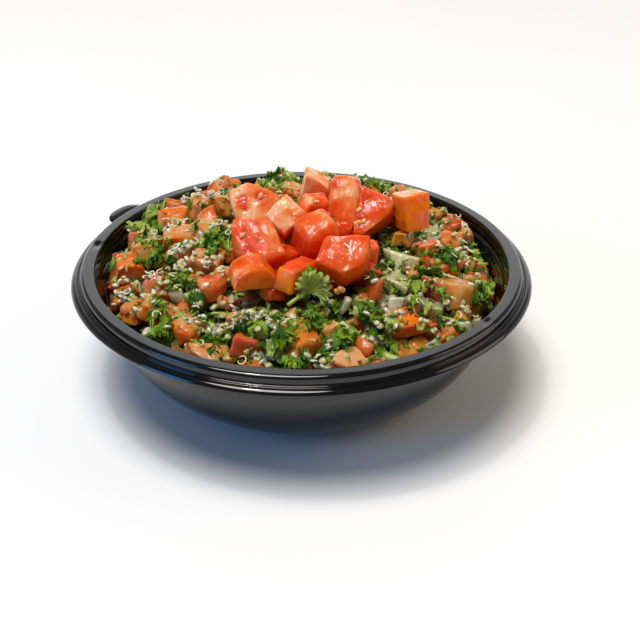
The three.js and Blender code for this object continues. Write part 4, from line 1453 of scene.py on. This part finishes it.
def sprig_form(spokes=120, rings=7):
    angle = np.linspace(-np.pi, np.pi, spokes, endpoint=False)
    part = np.linspace(0.02, 1, rings)
    lobes = 0.6 + 0.4 * np.abs(np.cos(2.5 * angle)) ** 0.8
    teeth = 0.1 * np.cos(15 * angle) + 0.05 * np.cos(35 * angle)
    reach = LEAF_RADIUS * (lobes + teeth) * (0.8 + 0.2 * np.cos(angle))
    r, a = np.meshgrid(part, angle, indexing="ij")
    rib = 0.35 * np.abs(np.cos(7.5 * a)) ** 6 * (1 - 0.5 * r)
    wave = r * (0.9 * np.sin(5 * a) - 0.8 * r) + 0.4 * r**2 * np.sin(17 * a)
    x = r * reach * np.sin(a)
    y = r * reach * np.cos(a)
    sides = [np.stack([x, y, wave + rib + 0.25], axis=2), np.stack([x, y, wave - 0.2], axis=2)]
    points = np.concatenate([s.reshape(-1, 3) for s in sides])
    upper = ring_quads(rings, spokes)
    count = rings * spokes
    last = np.arange(spokes) + (rings - 1) * spokes
    edge = np.stack([last, np.roll(last, -1), np.roll(last, -1) + count, last + count], axis=1)
    return points, np.concatenate([upper[:, ::-1], upper + count, edge[:, ::-1]])


def finger(length, way, seed):
    """One broad lobe of the sprig, from the stalk outwards, its tip raised."""
    points, quads = parsley_fan(length, np.random.default_rng(seed), FINGER_GRID)
    points = turned(points + [0.45 * length, 0, 0], 0, -20, 0)
    return turned(points, 0, 0, way) + [0, -2.5, 0.6], quads


leaf_points, leaf_quads = sprig_form()
steps = np.linspace(0, 1, 9)[:, None]
start, middle, end = np.array(STALK_BENDS)
stalk_path = (1 - steps) ** 2 * start + 2 * steps * (1 - steps) * middle + steps**2 * end
stalk_points, stalk_quads = tube(stalk_path, STALK_RADIUS)
sprig = Batch()
sprig.add(turned(leaf_points, SPRIG_TURN[0], 0, 0), leaf_quads, tone=0.36)
for number, (length, way) in enumerate(FINGERS):
    points, quads = finger(length, way, 60 + number)
    sprig.add(turned(points, SPRIG_TURN[0], 0, 0), quads, tone=0.6 + 0.04 * number)
sprig.add(turned(stalk_points, SPRIG_TURN[0], 0, 0), stalk_quads, tone=0.62)
sprig.points = [turned(p, 0, 0, SPRIG_TURN[2]) + SPRIG_AT for p in sprig.points]
sprig.make("sprig_leaf", parsley_green, "parsley", ["parsley_sprig"])

# %% [markdown]
# ## Floor and light
# The bowl stands on a white sweep: a matt sheet so wide that its edge is out of sight. A faint
# cloudiness keeps it from looking like empty paper.

# %% Floor
FLOOR_SIZE = 8


def sweep_white():
    material, tree, shader, place = new_material("matt_white_sweep")
    cloud = add(tree, "TexNoise", {"Vector": place, "Scale": 3, "Detail": 2})
    white = add(tree, "ValToRGB", {"Fac": cloud}, [(0.3, "f1f1f1"), (0.7, "f4f4f4")])
    plug(tree, shader, {"Base Color": white, "Roughness": 0.9, "Specular IOR Level": 0.1})
    return material


bpy.ops.mesh.primitive_grid_add(x_subdivisions=4, y_subdivisions=4, size=FLOOR_SIZE)
floor = bpy.context.object
floor.name = "sweep_floor"
floor.data.materials.append(sweep_white())
floor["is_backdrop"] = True
print(f"floor: {FLOOR_SIZE} m of white sweep")

# %% [markdown]
# One broad soft light, nearly overhead, throws a soft round shadow just wider than the bowl. A
# weaker, bluish light comes from a window on the left and a warm one off the wall on the right,
# and the white room fills in the rest. The small lamp adds little light: it is there for the sharp
# glints on wet flesh.

# %% Lights
LIGHTS = dict(
    key_softbox=dict(at=(-0.48, -0.36, 3.0), size=1.75, watts=80, colour="fffaf2"),
    window_fill=dict(at=(-2.2, -1.1, 1.0), size=1.2, watts=18, colour="3aa6ff"),
    wall_bounce=dict(at=(2.1, 0.1, 1.3), size=1.6, watts=10, colour="ffeed8"),
    small_lamp=dict(at=(-0.6, -0.1, 2.8), size=0.2, watts=9, colour="ffffff"),
)


def soft_light(name, at, size, watts, colour):
    data = bpy.data.lights.new(name, "AREA")
    data.shape = "DISK"
    data.size = size
    data.energy = watts
    data.color = linear(colour)[:3]
    lamp = bpy.data.objects.new(name, data)
    bpy.context.scene.collection.objects.link(lamp)
    lamp.location = at
    lamp.rotation_euler = lamp.location.to_track_quat("Z", "Y").to_euler()
    print(f"{name}: {watts} W from {lamp.location.length:.2f} m")


def grey(level):
    return (level, level, level, 1)


for name, light in LIGHTS.items():
    soft_light(name, **light)

world = bpy.data.worlds.new("white_room")
world.use_nodes = True
bpy.context.scene.world = world
room = world.node_tree
place = add(room, "TexCoord").outputs["Generated"]
split = add(room, "SeparateXYZ", {"Vector": place})
stops = [(0.0, grey(0.9)), (0.12, grey(0.8)), (0.35, grey(0.3)), (0.8, grey(0.12))]
upward = add(room, "ValToRGB", {"Fac": split.outputs["Z"]}, stops)
limits = {"Value": split.outputs["Y"], "From Min": -0.5, "From Max": 0.5, "To Min": 0.1}
sideways = add(room, "MapRange", limits)
mixed = {"Factor": sideways, 6: grey(0.12), 7: upward}
band = add(room, "Mix", mixed, data_type="RGBA").outputs[2]
limits = {"Value": split.outputs["Y"], "From Min": 0.78, "From Max": 0.832}
behind = add(room, "MapRange", limits)
mixed = {"Factor": behind, 6: band, 7: grey(1.3)}
brightness = add(room, "Mix", mixed, data_type="RGBA").outputs[2]
plug(room, room.nodes["Background"], {"Color": brightness, "Strength": 1.0})
bpy.context.scene.view_settings.view_transform = "Standard"
print("world: a white room, brightest towards the walls")

# %% [markdown]
# ## Measure and finish
# The last cell prints the size of the imported solids and of the dressed model, which should agree.

# %% Sizes of the solids and of the model
looks_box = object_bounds()
sizes = {
    "cad": [list(corner) for corner in cad_box],
    "visual": [list(corner) for corner in looks_box],
}
print(sizes)
